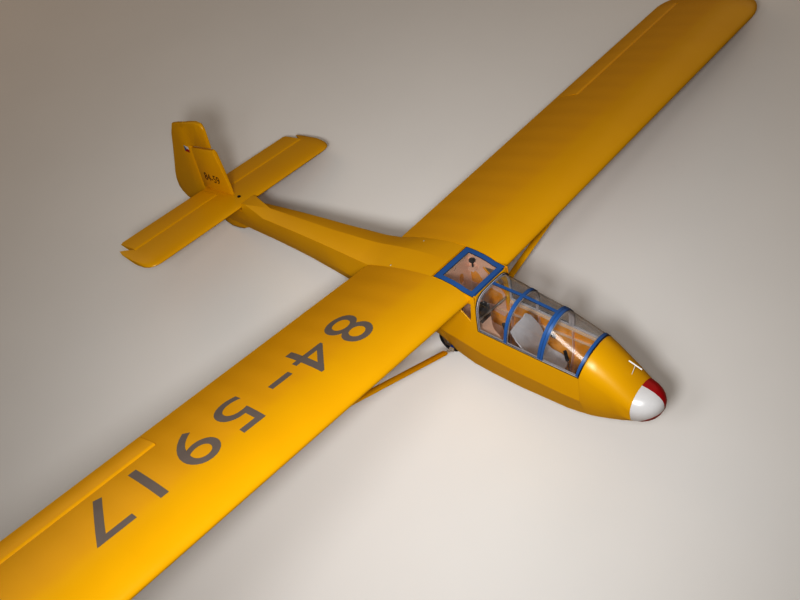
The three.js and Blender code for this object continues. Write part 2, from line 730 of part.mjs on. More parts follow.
const sidePlate = podSide();
const windowLeft = window3(1).shape;
const leftSide = cut(sidePlate, slab(windowLeft, 60, 90));
addPiece("pod_side_left", leftSide, YELLOW_FILM);
addPiece("pod_side_right", mirrored(leftSide), YELLOW_FILM);
const pane = slab(shrunk(windowLeft, 0.6), CABIN_HALF - 2, CABIN_HALF - 1);
addPiece("side_window_left", asGeometry(asSolid(pane)), CLEAR_SHEET);
addPiece("side_window_right", mirrored(asGeometry(asSolid(pane))), CLEAR_SHEET);
addPiece("pod_belly", podBelly(), YELLOW_FILM);
addPiece("nose_shell", noseShell(), YELLOW_FILM);
addPiece("nose_cap", noseCap(), WHITE_PAINT);
addPiece("rear_fuselage", rearFuselage(), YELLOW_FILM);

// Formers across the pod, open at the top; their foot carries the floor.
const FLOOR = { low: -255, thickness: 3, half: 38, front: 184, rear: 560 };
const FORMER_BAND = 9;
const LONGERON = 7;

function former(y, thickness) {
  const row = columnsAt(POD, y);
  const tall = sillZ(y) - 1 - LONGERON - GAP - thickness * 0.06;
  const foot = FLOOR.low - GAP;
  const wall = WALL + 2 * GAP;
  const outside = [
    [row.half - wall, tall],
    [row.chineHalf - wall, row.chineZ + 1],
    [row.keelHalf - wall * 0.85, row.keelZ + wall],
  ];
  const slope = (outside[1][0] - outside[2][0]) / (outside[1][1] - outside[2][1]);
  const inside = [
    [outside[0][0] - FORMER_BAND, tall],
    [outside[1][0] - FORMER_BAND, row.chineZ + 4],
    [outside[2][0] + slope * (foot - outside[2][1]) - FORMER_BAND, foot],
  ];
  const both = (list) => [...list, ...list.slice().reverse().map(([x, z]) => [-x, z])];
  const edges = [both(outside), both(inside)];
  const at = (u, v, depth) => point(edges[v][u][0], y + depth, edges[v][u][1]);
  return gridSheet([0, 1, 2, 3, 4, 5], [0, 1], (u, v) => at(u, v, 0), (u, v) => at(u, v, thickness));
}

// A square rail along the inside of the left side plate
function rail(ys, zAt, half, size) {
  const at = (y, v, side) => point((v ? half(y) - size : half(y)), y, zAt(y) - (side ? size : 0));
  return gridSheet(ys, [0, 1], (y, v) => at(y, v, 0), (y, v) => at(y, v, 1));
}
const insideHalf = (y) => columnsAt(POD, y).half - WALL - GAP;

// Stringers halfway down the sides, let into the formers
const STRINGER = { top: -143, size: 5, front: 192, rear: 560 };
const stringerRail = (grow) =>
  rail(
    [STRINGER.front, 215, 250, 400, 500, STRINGER.rear],
    () => STRINGER.top + grow,
    (y) => insideHalf(y) - 0.6 + grow * 2,
    STRINGER.size + grow * 3,
  );
const stringer = stringerRail(0);
const notch = stringerRail(GAP);
addPiece("stringer_left", stringer, BARE_WOOD);
addPiece("stringer_right", mirrored(stringer), BARE_WOOD);

const FORMERS = { front_former: 184.5, stick_former: 300, seat_former: 408, cabin_former: 500 };
for (const [name, y] of Object.entries(FORMERS))
  addPiece(name, pickedBody(cut(former(y, WALL), notch, mirrored(notch))), BARE_WOOD);
addPiece(
  "cabin_floor",
  box(-FLOOR.half, FLOOR.half, FLOOR.front, FLOOR.rear, FLOOR.low, FLOOR.low + FLOOR.thickness),
  BARE_WOOD,
);

function bulkhead() {
  const y = CABIN_END_Y - 3.3;
  const row = columnsAt(POD, y);
  const wall = WALL + GAP;
  const roof = roofZ(SKYLIGHT.rear) - SKYLIGHT.thickness - GAP - 1;
  const right = [
    point(row.half - wall, y, roof),
    point(row.chineHalf - wall, y, row.chineZ),
    point(row.keelHalf - wall, y, row.keelZ + wall + 1),
  ];
  const ring = [...right, ...right.slice().reverse().map((p) => point(-p.x, p.y, p.z))];
  return cut(loft([ring, ring.map((p) => point(p.x, p.y + 3, p.z))]), wheelSlot());
}
addPiece("cabin_bulkhead", bulkhead(), BARE_WOOD);

// Longerons along the sills, inside the side plates
const longeron = rail([FRONT_FRAME_Y + 1, 250, 400, CABIN_ARCH.front - 2.5], (y) => sillZ(y) - 1, insideHalf, LONGERON);
addPiece("longeron_left", longeron, BARE_WOOD);
addPiece("longeron_right", mirrored(longeron), BARE_WOOD);

// Roof over the rear seat: a yellow arch, rails and the framed skylight
function cabinArch() {
  const half = CABIN_HALF - WALL - GAP;
  const columns = [0, 0.12, 0.3, 0.55, 0.85, 1.2, Math.PI / 2];
  const angles = [...columns, ...columns.slice(0, -1).reverse().map((a) => Math.PI - a)];
  const low = sillZ(CABIN_ARCH.front) - 20;
  const outline = (angle, v) => {
    const c = Math.cos(angle);
    const s = Math.sin(angle);
    const tall = CABIN_ARCH.top - low;
    if (v === 1) {
      const reach = 1 / Math.max(Math.abs(c) ** 6 + s ** 6, 1e-9) ** (1 / 6);
      return [Math.min(Math.max(half * c * reach * 1.12, -half), half), Math.min(low + tall * s * reach * 1.12, CABIN_ARCH.top)];
    }
    return [(half - 6) * Math.sign(c) * Math.abs(c) ** 0.6, low + (tall - 7) * s ** 0.6];
  };
  const at = (a, v, y) => point(outline(a, v)[0], y, outline(a, v)[1]);
  return gridSheet(angles, [0, 1], (a, v) => at(a, v, CABIN_ARCH.front), (a, v) => at(a, v, CABIN_ARCH.rear));
}
addPiece("cabin_arch", cabinArch(), YELLOW_FILM);

const roofStations = [SKYLIGHT.front, 528, LEADING_EDGE_Y + 20, 560, 580, 610, SKYLIGHT.rear];
const railTop = (y) => roofZ(y) - SKYLIGHT.thickness - GAP;
const roofRail = rail(roofStations, railTop, () => CABIN_HALF - WALL - GAP, LONGERON);
const BEAM = { front: 631.5, rear: 641, low: 22 };
const beam = loft(
  [-72, 72].map((x) => [
    point(x, BEAM.front, BEAM.low),
    point(x, BEAM.rear, BEAM.low),
    point(x, BEAM.rear, railTop(BEAM.rear) - 1),
    point(x, BEAM.front, railTop(BEAM.front) - 1),
  ]),
);
addPiece("roof_frame", join(roofRail, mirrored(roofRail), beam), BARE_WOOD);

const skylightYs = [
  SKYLIGHT.front, SKYLIGHT.front + SKYLIGHT.frontBorder, LEADING_EDGE_Y + 20, 560, 580, 610,
  SKYLIGHT.rear - SKYLIGHT.rearBorder, SKYLIGHT.rear,
];
const skylightXs = [-SKYLIGHT.half, -SKYLIGHT.half + SKYLIGHT.border, SKYLIGHT.half - SKYLIGHT.border, SKYLIGHT.half];
addPiece(
  "skylight_frame",
  gridSheet(
    skylightYs,
    skylightXs,
    (y, x) => point(x, y, roofZ(y)),
    (y, x) => point(x, y, roofZ(y) - SKYLIGHT.thickness),
    (i, j) => i === 0 || i === skylightYs.length - 2 || j !== 1,
  ),
  BLUE_PAINT,
);
const paneHalf = SKYLIGHT.half - SKYLIGHT.border - GAP;
const paneYs = [skylightYs[1] + GAP, ...skylightYs.slice(2, -2), skylightYs[6] - GAP];
addPiece(
  "skylight_pane",
  gridSheet(
    paneYs,
    [-paneHalf, paneHalf],
    (y, x) => point(x, y, roofZ(y) - 1),
    (y, x) => point(x, y, roofZ(y) - 1 - GLASS),
  ),
  CLEAR_SHEET,
);

// Windscreen, fixed
const screenAts = [0, ARCH_STRIP.front, 0.35, 0.65, WIDE_ARCH.front, WIDE_ARCH.joint - 0.003];
const isScreenFrame = (i, j) => i === 0 || i === screenAts.length - 2 || isSillCell(j);
addPiece("windscreen_pane", archSheet(screenAts, 0, GLASS), CLEAR_SHEET);
addPiece(
  "windscreen_frame",
  archSheet(screenAts, GAP + FRAME_STRIP, FRAME_STRIP, isScreenFrame),
  BLUE_PAINT,
);
addPiece(
  "windscreen_inner_frame",
  archSheet([ARCH_STRIP.front * 0.25, ...screenAts.slice(1)], -GLASS - GAP, INNER_FRAME, isScreenFrame),
  WHITE_PAINT,
);

// Canopy, hinged along the left sill
const HINGE_SILL = [archPoint(1, 0, 4), archPoint(3, 0, 4)];
const canopy = hingeGroup(
  point(CABIN_HALF + 3, (HINGE_SILL[0].y + HINGE_SILL[1].y) / 2, (HINGE_SILL[0].z + HINGE_SILL[1].z) / 2 - 1),
  point(0, HINGE_SILL[1].y - HINGE_SILL[0].y, HINGE_SILL[1].z - HINGE_SILL[0].z),
);
const canopyAts = [
  WIDE_ARCH.joint + 0.003, WIDE_ARCH.rear, 1.35, 1.65, THIN_ARCH.front, THIN_ARCH.rear, 2.35, 2.65,
  3 - ARCH_STRIP.rear, 3,
];
const canopyArchCells = [0, 4, canopyAts.length - 2];
const isCanopyArch = (i, j) => canopyArchCells.includes(i) || isSillCell(j);
addPiece("canopy_pane", archSheet(canopyAts, 0, GLASS), CLEAR_SHEET, canopy);
addPiece(
  "canopy_frame",
  archSheet(canopyAts, GAP + FRAME_STRIP, FRAME_STRIP, (i, j) => isCanopyArch(i, j) || j === SPINE_CELL),
  BLUE_PAINT,
  canopy,
);
addPiece(
  "canopy_inner_frame",
  archSheet(canopyAts, -GLASS - GAP, INNER_FRAME, isCanopyArch),
  WHITE_PAINT,
  canopy,
);

// Seats: a bent shell from the top of the back to the front of the pan. Each row holds x, y and z of its left
// edge, its middle and its right edge. The front seat's shell is soft and stands askew, higher on the right.
const ASKEW_SEAT = [
  [[4, 400, -45], [0, 400, -44], [-4, 400.5, -45]],
  [[18, 396, -62], [-4, 397, -60], [-34, 406, -56]],
  [[30, 391, -86], [-4, 394, -84], [-58, 411, -68]],
  [[45, 387, -118], [-2, 390, -112], [-61, 392, -90]],
  [[58, 388, -157], [0, 386, -150], [-61, 369, -112]],
  [[62, 382, -195], [0, 378, -192], [-60, 352, -117]],
  [[61, 366, -206], [0, 362, -214], [-60, 335, -128]],
  [[58, 335, -206], [0, 332, -216], [-58, 316, -150]],
  [[48, 304, -204], [0, 297, -208], [-50, 297, -175]],
];
const EVEN_SEAT = ASKEW_SEAT.map(([left, [, y, z]]) => [left, [0, y, z], [-left[0], left[1], left[2]]]);
const SEAT_THICKNESS = 3;

function seat(rows, shift, rise) {
  const last = rows.length - 1;
  const surface = (u, v) => {
    const i = Math.min(Math.floor(u), last - 1);
    const edge = (n) => point(...rows[i][n]).lerp(point(...rows[i + 1][n]), u - i);
    return new THREE.Vector3()
      .addScaledVector(edge(0), (v * v + v) / 2)
      .addScaledVector(edge(1), 1 - v * v)
      .addScaledVector(edge(2), (v * v - v) / 2)
      .add(point(0, shift, rise));
  };
  const behind = (u, v) => {
    const step = 0.05;
    const along = surface(Math.min(u + step, last), v).sub(surface(Math.max(u - step, 0), v));
    const across = surface(u, Math.min(v + step, 1)).sub(surface(u, Math.max(v - step, -1)));
    return surface(u, v).addScaledVector(across.cross(along).normalize(), SEAT_THICKNESS);
  };
  const shell = gridSheet(range(0, last, last), [-1, -0.6, -0.2, 0.2, 0.6, 1], surface, behind);
  const foot = box(-16, 16, 334 + shift, 362 + shift, FLOOR.low + FLOOR.thickness + GAP, -217 + rise);
  return join(shell, foot);
}
addPiece("front_seat", seat(ASKEW_SEAT, 0, 0), GREY_SEAT);
addPiece("rear_seat", seat(EVEN_SEAT, 196, 8), BARE_WOOD);

// Control sticks
for (const [name, shift, rise] of [["front", 0, 0], ["rear", 196, 8]]) {
  const foot = point(0, 262 + shift, FLOOR.low + FLOOR.thickness + GAP);
  const wrist = point(0, 277 + shift, -155 + rise);
  const top = point(0, 283 + shift, -124 + rise);
  const boot = new THREE.CylinderGeometry(5, 9, 8, 12).rotateX(Math.PI / 2).translate(foot.x, foot.y, foot.z + 4);
  addPiece(name + "_stick", join(boot, bar(point(0, foot.y, foot.z + 2), wrist, 1.6, 8)), STEEL);
  addPiece(name + "_grip", bar(wrist.clone().add(point(0, 0.1, GAP)), top, 4.6, 10), BLACK_PLASTIC);
}

// Tube across the cabin behind the arch, lower on the left, and the servo on its tray
const tubeHalf = CABIN_HALF - WALL - GAP;
const TUBE = { y: CABIN_ARCH.rear + GAP + 3.5, left: -91, right: -76, radius: 3.5 };
const tubeEnd = point(tubeHalf - 0.4, TUBE.y, TUBE.left);
addPiece("cabin_tube", bar(point(-tubeEnd.x, TUBE.y, TUBE.right), tubeEnd, TUBE.radius), STEEL);
const TRAY = { top: -108, thickness: 3 };

function servoTray() {
  const shape = new THREE.Shape();
  shape.moveTo(-tubeHalf, 446);
  shape.lineTo(-56, 446);
  shape.bezierCurveTo(-44, 462, -46, 475, -26.5, 495.5);
  shape.bezierCurveTo(-12, 511, 8, 522, 12, 545);
  shape.lineTo(12, 556);
  shape.lineTo(-tubeHalf, 556);
  const plate = new THREE.ExtrudeGeometry(shape, { depth: TRAY.thickness, bevelEnabled: false, curveSegments: 8 });
  plate.translate(0, 0, TRAY.top - TRAY.thickness);
  const slot = box(-90, -62, FORMERS.cabin_former - GAP, CABIN_ARCH.rear + GAP, -130, -90);
  return cut(plate, slot);
}
addPiece("servo_tray", servoTray(), BARE_WOOD);
const SERVO = { left: 3, right: -36, front: 523, rear: 543, top: -64 };
const servoBody = box(SERVO.right, SERVO.left, SERVO.front, SERVO.rear, TRAY.top + GAP, SERVO.top);
const servoHorn = bar(point(-9, 533, SERVO.top - 2), point(-9, 533, SERVO.top + 7), 8, 12);
addPiece("cabin_servo", join(servoBody, servoHorn), BLACK_PLASTIC);

// Wings and ailerons
const wing = wingHalf();
addPiece("wing_left", wing, YELLOW_FILM);
addPiece("wing_right", mirrored(wing), YELLOW_FILM);
for (const [name, side] of [["left", 1], ["right", -1]]) {
  const inner = aileronSection(AILERON.inboard).centre;
  const outer = aileronSection(AILERON.outboard).centre;
  inner.x *= side;
  outer.x *= side;
  const hinge = hingeGroup(inner.clone().lerp(outer, 0.5), outer.clone().sub(inner).multiplyScalar(side));
  const body = loft([aileronRing(AILERON.inboard), aileronRing(AILERON.outboard)]);
  addPiece("aileron_" + name, side > 0 ? body : mirrored(body), YELLOW_FILM, hinge);
}

// Struts: a lens section between the belly's corner and the wing
function strutRing(centre, chord, thickness, alongSpan) {
  const across = point(0, 1, 0);
  const normal = alongSpan.clone().cross(across).normalize();
  return range(0, 2 * Math.PI, 12).slice(0, -1).map((a) =>
    centre.clone()
      .addScaledVector(across, (chord / 2) * Math.cos(a))
      .addScaledVector(normal, (thickness / 2) * Math.sin(a)),
  );
}

function strutParts() {
  const low = point(...STRUT.fuselage);
  const [wingX, wingY] = STRUT.wing;
  const station = wingStation(wingX);
  const high = wingPoint(wingX, (wingY - station.lead) / station.chord, -1);
  const direction = high.clone().sub(low).normalize();
  const start = low.clone().lerp(high, STRUT.lowEnd);
  const shape = [[0, 0.45], [3, 0.8], [8, 1]].map(([d, k]) =>
    strutRing(start.clone().addScaledVector(direction, d), STRUT.chord * k, STRUT.thickness * k, direction),
  );
  shape.push(strutRing(high.clone().addScaledVector(direction, 14), STRUT.chord, STRUT.thickness, direction));
  const body = cut(loft(shape), wing.clone().translate(0, 0, -GAP));
  const rods = [-3.2, 3.2].map((dy) =>
    bar(
      low.clone().add(point(2, dy, 0)),
      start.clone().add(point(-GAP - 0.4, dy, -GAP)),
      1.4,
      8,
    ),
  );
  const lug = box(-3.2, 3.2, -7, 7, -5, 5).translate(low.x + 3, low.y, low.z + 1);
  return { body, fork: join(lug, ...rods) };
}

const strut = strutParts();
const strutBody = pickedBody(strut.body);
const bellyOutside = podBelly();
const podPlug = (geometry) => pickedBody(cut(geometry, bellyOutside));
addPiece("strut_left", strutBody, YELLOW_FILM);
addPiece("strut_right", mirrored(strutBody), YELLOW_FILM);
const fork = podPlug(strut.fork);
addPiece("strut_fork_left", fork, STEEL);
addPiece("strut_fork_right", mirrored(fork), STEEL);

// Tail
const tail = tailplane();
addPiece("tailplane", tail, YELLOW_FILM);
addPiece("fin", fin(tail), YELLOW_FILM);
const elevator = hingeGroup(point(0, TAIL_HINGE_Y, TAILPLANE.z), point(1, 0, 0));
addPiece("elevator_left", elevatorHalf(1), YELLOW_FILM, elevator);
addPiece("elevator_right", elevatorHalf(-1), YELLOW_FILM, elevator);
addPiece(
  "elevator_joiner",
  bar(point(-52, TAIL_HINGE_Y, TAILPLANE.z), point(52, TAIL_HINGE_Y, TAILPLANE.z), 2.5),
  STEEL,
  elevator,
);
const rudderHinge = hingeGroup(point(0, RUDDER_HINGE_Y, 0), point(0, 0, 1));
addPiece("rudder", rudder(), YELLOW_FILM, rudderHinge);

// Wheel in its fork
const wheel = hingeGroup(point(0, WHEEL.y, WHEEL.z), point(1, 0, 0));
const tyreProfile = [];
const rimRadius = WHEEL.radius - 15;
for (const a of range(-Math.PI, Math.PI, 12))
  tyreProfile.push([
    Math.max(WHEEL.radius - 14 + 14 * Math.cos(a), rimRadius),
    WHEEL.half * Math.sin(a) * 0.96,
  ]);
addPiece("wheel_tyre", turnedAboutX(tyreProfile, 36, WHEEL.y, WHEEL.z), TYRE_RUBBER, wheel);
const hubProfile = [
  [WHEEL.axle + GAP, -9], [9, -9], [9, -5], [rimRadius - 6, -3], [rimRadius - GAP, -7],
  [rimRadius - GAP, 7], [rimRadius - 6, 3], [9, 5], [9, 9], [WHEEL.axle + GAP, 9], [WHEEL.axle + GAP, -9],
];
addPiece("wheel_hub", turnedAboutX(hubProfile, 36, WHEEL.y, WHEEL.z), BLUE_PAINT, wheel);

addPiece(
  "wheel_axle",
  bar(point(-FORK.outside - 2, WHEEL.y, WHEEL.z), point(FORK.outside + 2, WHEEL.y, WHEEL.z), WHEEL.axle, 16),
  STEEL,
);

function wheelFork() {
  const { outside, plate, top, low, front, rear } = FORK;
  const cheek = (side) => {
    const shape = new THREE.Shape([
      new THREE.Vector2(front, top),
      new THREE.Vector2(rear, top),
      new THREE.Vector2(WHEEL.y + 9, low),
      new THREE.Vector2(WHEEL.y - 9, low),
    ]);
    const x = side > 0 ? outside - plate : -outside;
    return slab(shape, x, x + plate);
  };
  const bridge = box(-outside, outside, front, rear, top - plate, top);
  const bore = bar(point(-40, WHEEL.y, WHEEL.z), point(40, WHEEL.y, WHEEL.z), WHEEL.axle + GAP, 16);
  return cut(join(cheek(1), cheek(-1), bridge), bore);
}
addPiece("wheel_fork", wheelFork(), STEEL);

// Skids
const NOSE_SKID = {
  columns: ["y", "top", "thick"],
  rows: [
    [66, -232.9, 3], [90, -254, 5], [130, -274, 6], [200, -290, 6], [350, -297, 6], [480, -294.5, 6],
    [545, -284, 6], [575, -269.5, 4],
  ],
};
const noseSkidRunner = gridSheet(
  NOSE_SKID.rows.map((row) => row[0]),
  [-9, 9],
  (y, x) => point(x, y, columnsAt(NOSE_SKID, y).top),
  (y, x) => point(x, y, columnsAt(NOSE_SKID, y).top - columnsAt(NOSE_SKID, y).thick),
);
const skidBlocks = [[225, -274.2], [445, -278.3]].map(([y, top]) => box(-6, 6, y - 9, y + 9, -297, top));
addPiece("nose_skid", podPlug(join(noseSkidRunner, ...skidBlocks)), BARE_WOOD);

const bladeOutline = [
  [1567, -147.4], [1622, -147.4], [1713, -146.1], [1708, -170.5], [1690, -177], [1670, -181], [1636, -178], [1600, -170],
  [1572, -158],
];
const blade = (list, half) =>
  slab(new THREE.Shape(list.map(([y, z]) => new THREE.Vector2(y, z))), -half, half);
addPiece("tail_skid", blade(bladeOutline, 4.5), YELLOW_FILM);
const shoeTop = [[1600, -170.3], [1636, -178.3], [1670, -181.3], [1690, -177.3], [1706, -171.5]];
const shoeOutline = [...shoeTop, ...shoeTop.slice().reverse().map(([y, z]) => [y, z - 1.6])];
addPiece("tail_skid_shoe", blade(shoeOutline, 4.5), STEEL);

// Air-speed tube over the nose deck
const pitotFoot = point(0, 89.8, -106.2);
const pitotHead = point(0, 80.8, -70);
addPiece(
  "pitot",
  join(bar(pitotFoot, pitotHead, 1.2, 10), bar(point(0, 62.6, -76.5), point(0, 98.6, -63.5), 2.2, 12)),
  WHITE_PAINT,
);

// Parked: the three lowest points, of the tyre, the tail skid's shoe and the left wing, come to one level.
craft.updateMatrixWorld(true);
const meshNamed = (name) => craft.getObjectByName(name);

function lowestPoint(mesh, turn) {
  const position = mesh.geometry.getAttribute("position");
  let lowest = null;
  for (let i = 0; i < position.count; i++) {
    const p = new THREE.Vector3().fromBufferAttribute(position, i);
    p.applyMatrix4(mesh.matrixWorld).applyQuaternion(turn);
    if (!lowest || p.z < lowest.z) lowest = p;
  }
  return lowest;
}

function parkedTurn() {
  let turn = new THREE.Quaternion();
  for (let step = 0; step < 60; step++) {
    const [a, b, c] = ["wheel_tyre", "tail_skid_shoe", "wing_left"].map((n) => lowestPoint(meshNamed(n), turn));
    const up = b.clone().sub(a).cross(c.clone().sub(a)).normalize();
    if (up.z < 0) up.negate();
    if (up.angleTo(point(0, 0, 1)) < 1e-6) break;
    turn = new THREE.Quaternion().setFromUnitVectors(up, point(0, 0, 1)).multiply(turn);
  }
  return turn;
}

const glider = new THREE.Group();
glider.add(craft);
craft.quaternion.copy(parkedTurn());
craft.updateMatrixWorld(true);
const bounds = new THREE.Box3().setFromObject(craft, true);
craft.position.set(-(bounds.min.x + bounds.max.x) / 2, -(bounds.min.y + bounds.max.y) / 2, -bounds.min.z);

export default glider;
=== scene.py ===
# %% [markdown]
# # A two-seat training glider as a flying model
#
# This lesson dresses a large radio-controlled model glider: a wooden airframe under yellow covering film,
# with a glazed cabin, blue glazing strips and a painted nose cap. The rigid parts come from a CAD frame, in
# metres, and the lesson gives them materials and adds the small pieces that make the model look real.

import json
import math

import bmesh
import bpy
from mathutils import Matrix, Vector
from mathutils.bvhtree import BVHTree


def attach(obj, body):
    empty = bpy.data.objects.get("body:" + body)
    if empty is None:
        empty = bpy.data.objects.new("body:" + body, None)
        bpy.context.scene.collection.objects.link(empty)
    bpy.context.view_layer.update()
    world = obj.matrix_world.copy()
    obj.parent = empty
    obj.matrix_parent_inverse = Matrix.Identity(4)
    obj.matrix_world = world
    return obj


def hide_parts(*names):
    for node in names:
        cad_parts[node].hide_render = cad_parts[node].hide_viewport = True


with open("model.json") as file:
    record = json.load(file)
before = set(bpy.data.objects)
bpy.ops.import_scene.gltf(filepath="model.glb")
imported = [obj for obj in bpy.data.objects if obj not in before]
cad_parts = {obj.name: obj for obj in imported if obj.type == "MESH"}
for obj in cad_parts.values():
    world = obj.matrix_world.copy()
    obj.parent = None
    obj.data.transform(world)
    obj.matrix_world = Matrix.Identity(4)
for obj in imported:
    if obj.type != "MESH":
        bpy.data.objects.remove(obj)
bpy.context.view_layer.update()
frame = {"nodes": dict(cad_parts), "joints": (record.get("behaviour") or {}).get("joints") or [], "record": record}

# %% [markdown]
# ## The craft's own axes
#
# The glider is parked on its wheel, its tail skid and its left wing tip, so nothing on it is level. It is far
# easier to place a piece in the craft's own axes, in millimetres: x towards the left wing tip, y aft from the
# nose tip and z up from the wing's leading edge. The hinge lines of the elevator and the rudder give these
# axes in the parked position, and the wheel's hub ties them to a known point.

# %% Axes of the craft
joints = {joint["name"]: joint for joint in frame["joints"]}
HUB_MM = Vector((0, 685, -273.5))
port = Vector(joints["elevator_hinge"]["axis"]).normalized()
up = Vector(joints["rudder_hinge"]["axis"]).normalized()
aft = up.cross(port).normalized()
up = port.cross(aft)
craft_turn = Matrix((port, aft, up)).transposed()
hub_at = Vector(joints["main_wheel"]["pos_m"])
CRAFT = (
    Matrix.Translation(hub_at)
    @ craft_turn.to_4x4()
    @ Matrix.Scale(0.001, 4)
    @ Matrix.Translation(-HUB_MM)
)


def at(x, y, z):
    """A point given in the craft's own axes, in millimetres, as a place in the scene."""
    return CRAFT @ Vector((x, y, z))


print("nose tip:", [round(v, 4) for v in at(0, 0, -177)])

# %% [markdown]
# ## The camera
#
# The camera stands in front of the right wing, well above the model, and looks down and aft. Its place and
# turn are given in the craft's axes, so the picture stays the same however the glider is parked. The focal
# length follows from a field of view of about 50 degrees across the frame.

# %% Camera
CAMERA_MM = (-1353.5, -638.1, 1463.8)
FOCAL_PIXELS = 852.33
FRAME_PIXELS = 800
SENSOR_MM = 36
camera_right = Vector((0.642045, -0.749744, -0.160192))
camera_down = Vector((-0.567600, -0.324386, -0.756706))
camera_forward = Vector((0.515371, 0.576765, -0.633825))
lens = bpy.data.cameras.new("camera")
lens.sensor_width = SENSOR_MM
lens.lens = FOCAL_PIXELS / FRAME_PIXELS * SENSOR_MM
lens.clip_start = 0.05
lens.clip_end = 60
camera = bpy.data.objects.new("camera", lens)
bpy.context.scene.collection.objects.link(camera)
turn = Matrix((camera_right, -camera_down, -camera_forward)).transposed()
camera.matrix_world = Matrix.Translation(at(*CAMERA_MM)) @ (craft_turn @ turn).to_4x4()
bpy.context.scene.camera = camera
print("lens:", round(lens.lens, 2), "mm, camera height:", round(camera.location.z, 2), "m")

# %% [markdown]
# ## Floor and light
#
# A plain pale floor keeps the eye on the model. The main light is a soft lamp beside the camera, a little to
# its left and below it, so the surfaces that face the camera are the brightest and the light falls off along
# the far wing, as it does when a long model is lit from one end. A smaller lamp right above the camera lights
# the inside of the cabin, where its shadows stay hidden behind what casts them. A third lamp, further to the
# left, puts one clean streak on the windscreen, and two large warm lamps far off and dim warm surroundings
# open the shadows on the other sides.

# %% Floor
FLOOR_HALF_M = 14
floor_mesh = bmesh.new()
bmesh.ops.create_grid(floor_mesh, x_segments=1, y_segments=1, size=FLOOR_HALF_M)
floor_data = bpy.data.meshes.new("floor")
floor_mesh.to_mesh(floor_data)
floor_mesh.free()
floor = bpy.data.objects.new("floor", floor_data)
bpy.context.scene.collection.objects.link(floor)
floor.location.z = -0.001
print("floor:", [round(d, 1) for d in floor.dimensions])

# %% Lights
AIM_MM = (-100, 700, 0)
WINDSCREEN_MM = (-52, 238, -44)
PLAIN_WHITE = (1, 1, 1)
WARM_WHITE = (1, 0.7, 0.46)
WORLD_COLOUR = (1.0, 0.93, 0.85, 1.0)
WORLD_STRENGTH = 0.14
# lamp: place and aim in the craft's axes in mm, size in m, power in W, spread in degrees, colour
LIGHTS = {
    "key": ((-1700, -500, 1290), AIM_MM, (0.4, 0.4), 6.9, 90, PLAIN_WHITE),
    "near": ((-1340, -640, 1530), AIM_MM, (0.25, 0.25), 2.4, 90, PLAIN_WHITE),
    "strip": ((-1750, 112, 1300), WINDSCREEN_MM, (0.45, 0.6), 4, 180, PLAIN_WHITE),
    "fill": ((3300, 200, 2300), AIM_MM, (3.2, 3.2), 8, 180, WARM_WHITE),
    "back": ((-300, 4600, 2700), AIM_MM, (2.6, 2.6), 11, 180, WARM_WHITE),
}
for light_name, (lamp_mm, aim_mm, lamp_size, power, spread, tint) in LIGHTS.items():
    lamp = bpy.data.lights.new(light_name, "AREA")
    lamp.shape = "ELLIPSE"
    lamp.size, lamp.size_y = lamp_size
    lamp.energy = power
    lamp.spread = math.radians(spread)
    lamp.color = tint
    lamp_object = bpy.data.objects.new(light_name, lamp)
    bpy.context.scene.collection.objects.link(lamp_object)
    lamp_object.location = at(*lamp_mm)
    aim = at(*aim_mm) - lamp_object.location
    lamp_object.rotation_euler = aim.to_track_quat("-Z", "Y").to_euler()
world = bpy.data.worlds.new("studio")
bpy.context.scene.world = world
world.use_nodes = True
world.node_tree.nodes["Background"].inputs["Color"].default_value = WORLD_COLOUR
world.node_tree.nodes["Background"].inputs["Strength"].default_value = WORLD_STRENGTH
bpy.context.scene.view_settings.view_transform = "Standard"
bpy.context.scene.view_settings.look = "High Contrast"
print("lights:", sorted(LIGHTS))

# %% [markdown]
# ## How the materials are built
#
# Colours are written as the hex values an artist would pick on a screen, and one function turns them into the
# linear values that the renderer works with. One more function adds a node with its settings and links. Every
# pattern is drawn in the craft's own axes in millimetres, so a scale in a material is a real size: a Mapping
# node of the texture type undoes the parked position.

# %% Colour and node helpers
def linear(hex_colour):
    """An sRGB hex colour as linear red, green, blue and alpha."""
    parts = [int(hex_colour[i : i + 2], 16) / 255 for i in (1, 3, 5)]
    return (*[c / 12.92 if c <= 0.04045 else ((c + 0.055) / 1.055) ** 2.4 for c in parts], 1.0)


def add(material, kind, inputs=None, **settings):
    """Adds a node; settings are its own options, inputs are values or the sockets that feed it."""
    made = material.node_tree.nodes.new("ShaderNode" + kind)
    for name, value in settings.items():
        setattr(made, name, value)
    for name, value in (inputs or {}).items():
        if isinstance(value, bpy.types.NodeSocket):
            material.node_tree.links.new(value, made.inputs[name])
        else:
            made.inputs[name].default_value = value
    return made


def math_node(material, operation, *values):
    """A Math node whose inputs are given in order; returns its output socket."""
    return add(material, "Math", dict(enumerate(values)), operation=operation).outputs[0]


def new_material(name):
    """An empty material and the socket that gives a place in the craft's axes, in millimetres."""
    made = bpy.data.materials.new(name)
    made.use_nodes = True
    made.node_tree.nodes.clear()
    place = add(made, "TexCoord")
    settings = {
        "Vector": place.outputs["Object"],
        "Location": at(0, 0, 0),
        "Rotation": craft_turn.to_euler(),
        "Scale": (0.001, 0.001, 0.001),
    }
    craft = add(made, "Mapping", settings, vector_type="TEXTURE")
    return made, craft.outputs["Vector"]


def finish_material(material, shader):
    """Joins the last shader to the material's output."""
    add(material, "OutputMaterial", {"Surface": shader.outputs[0]})
    return material


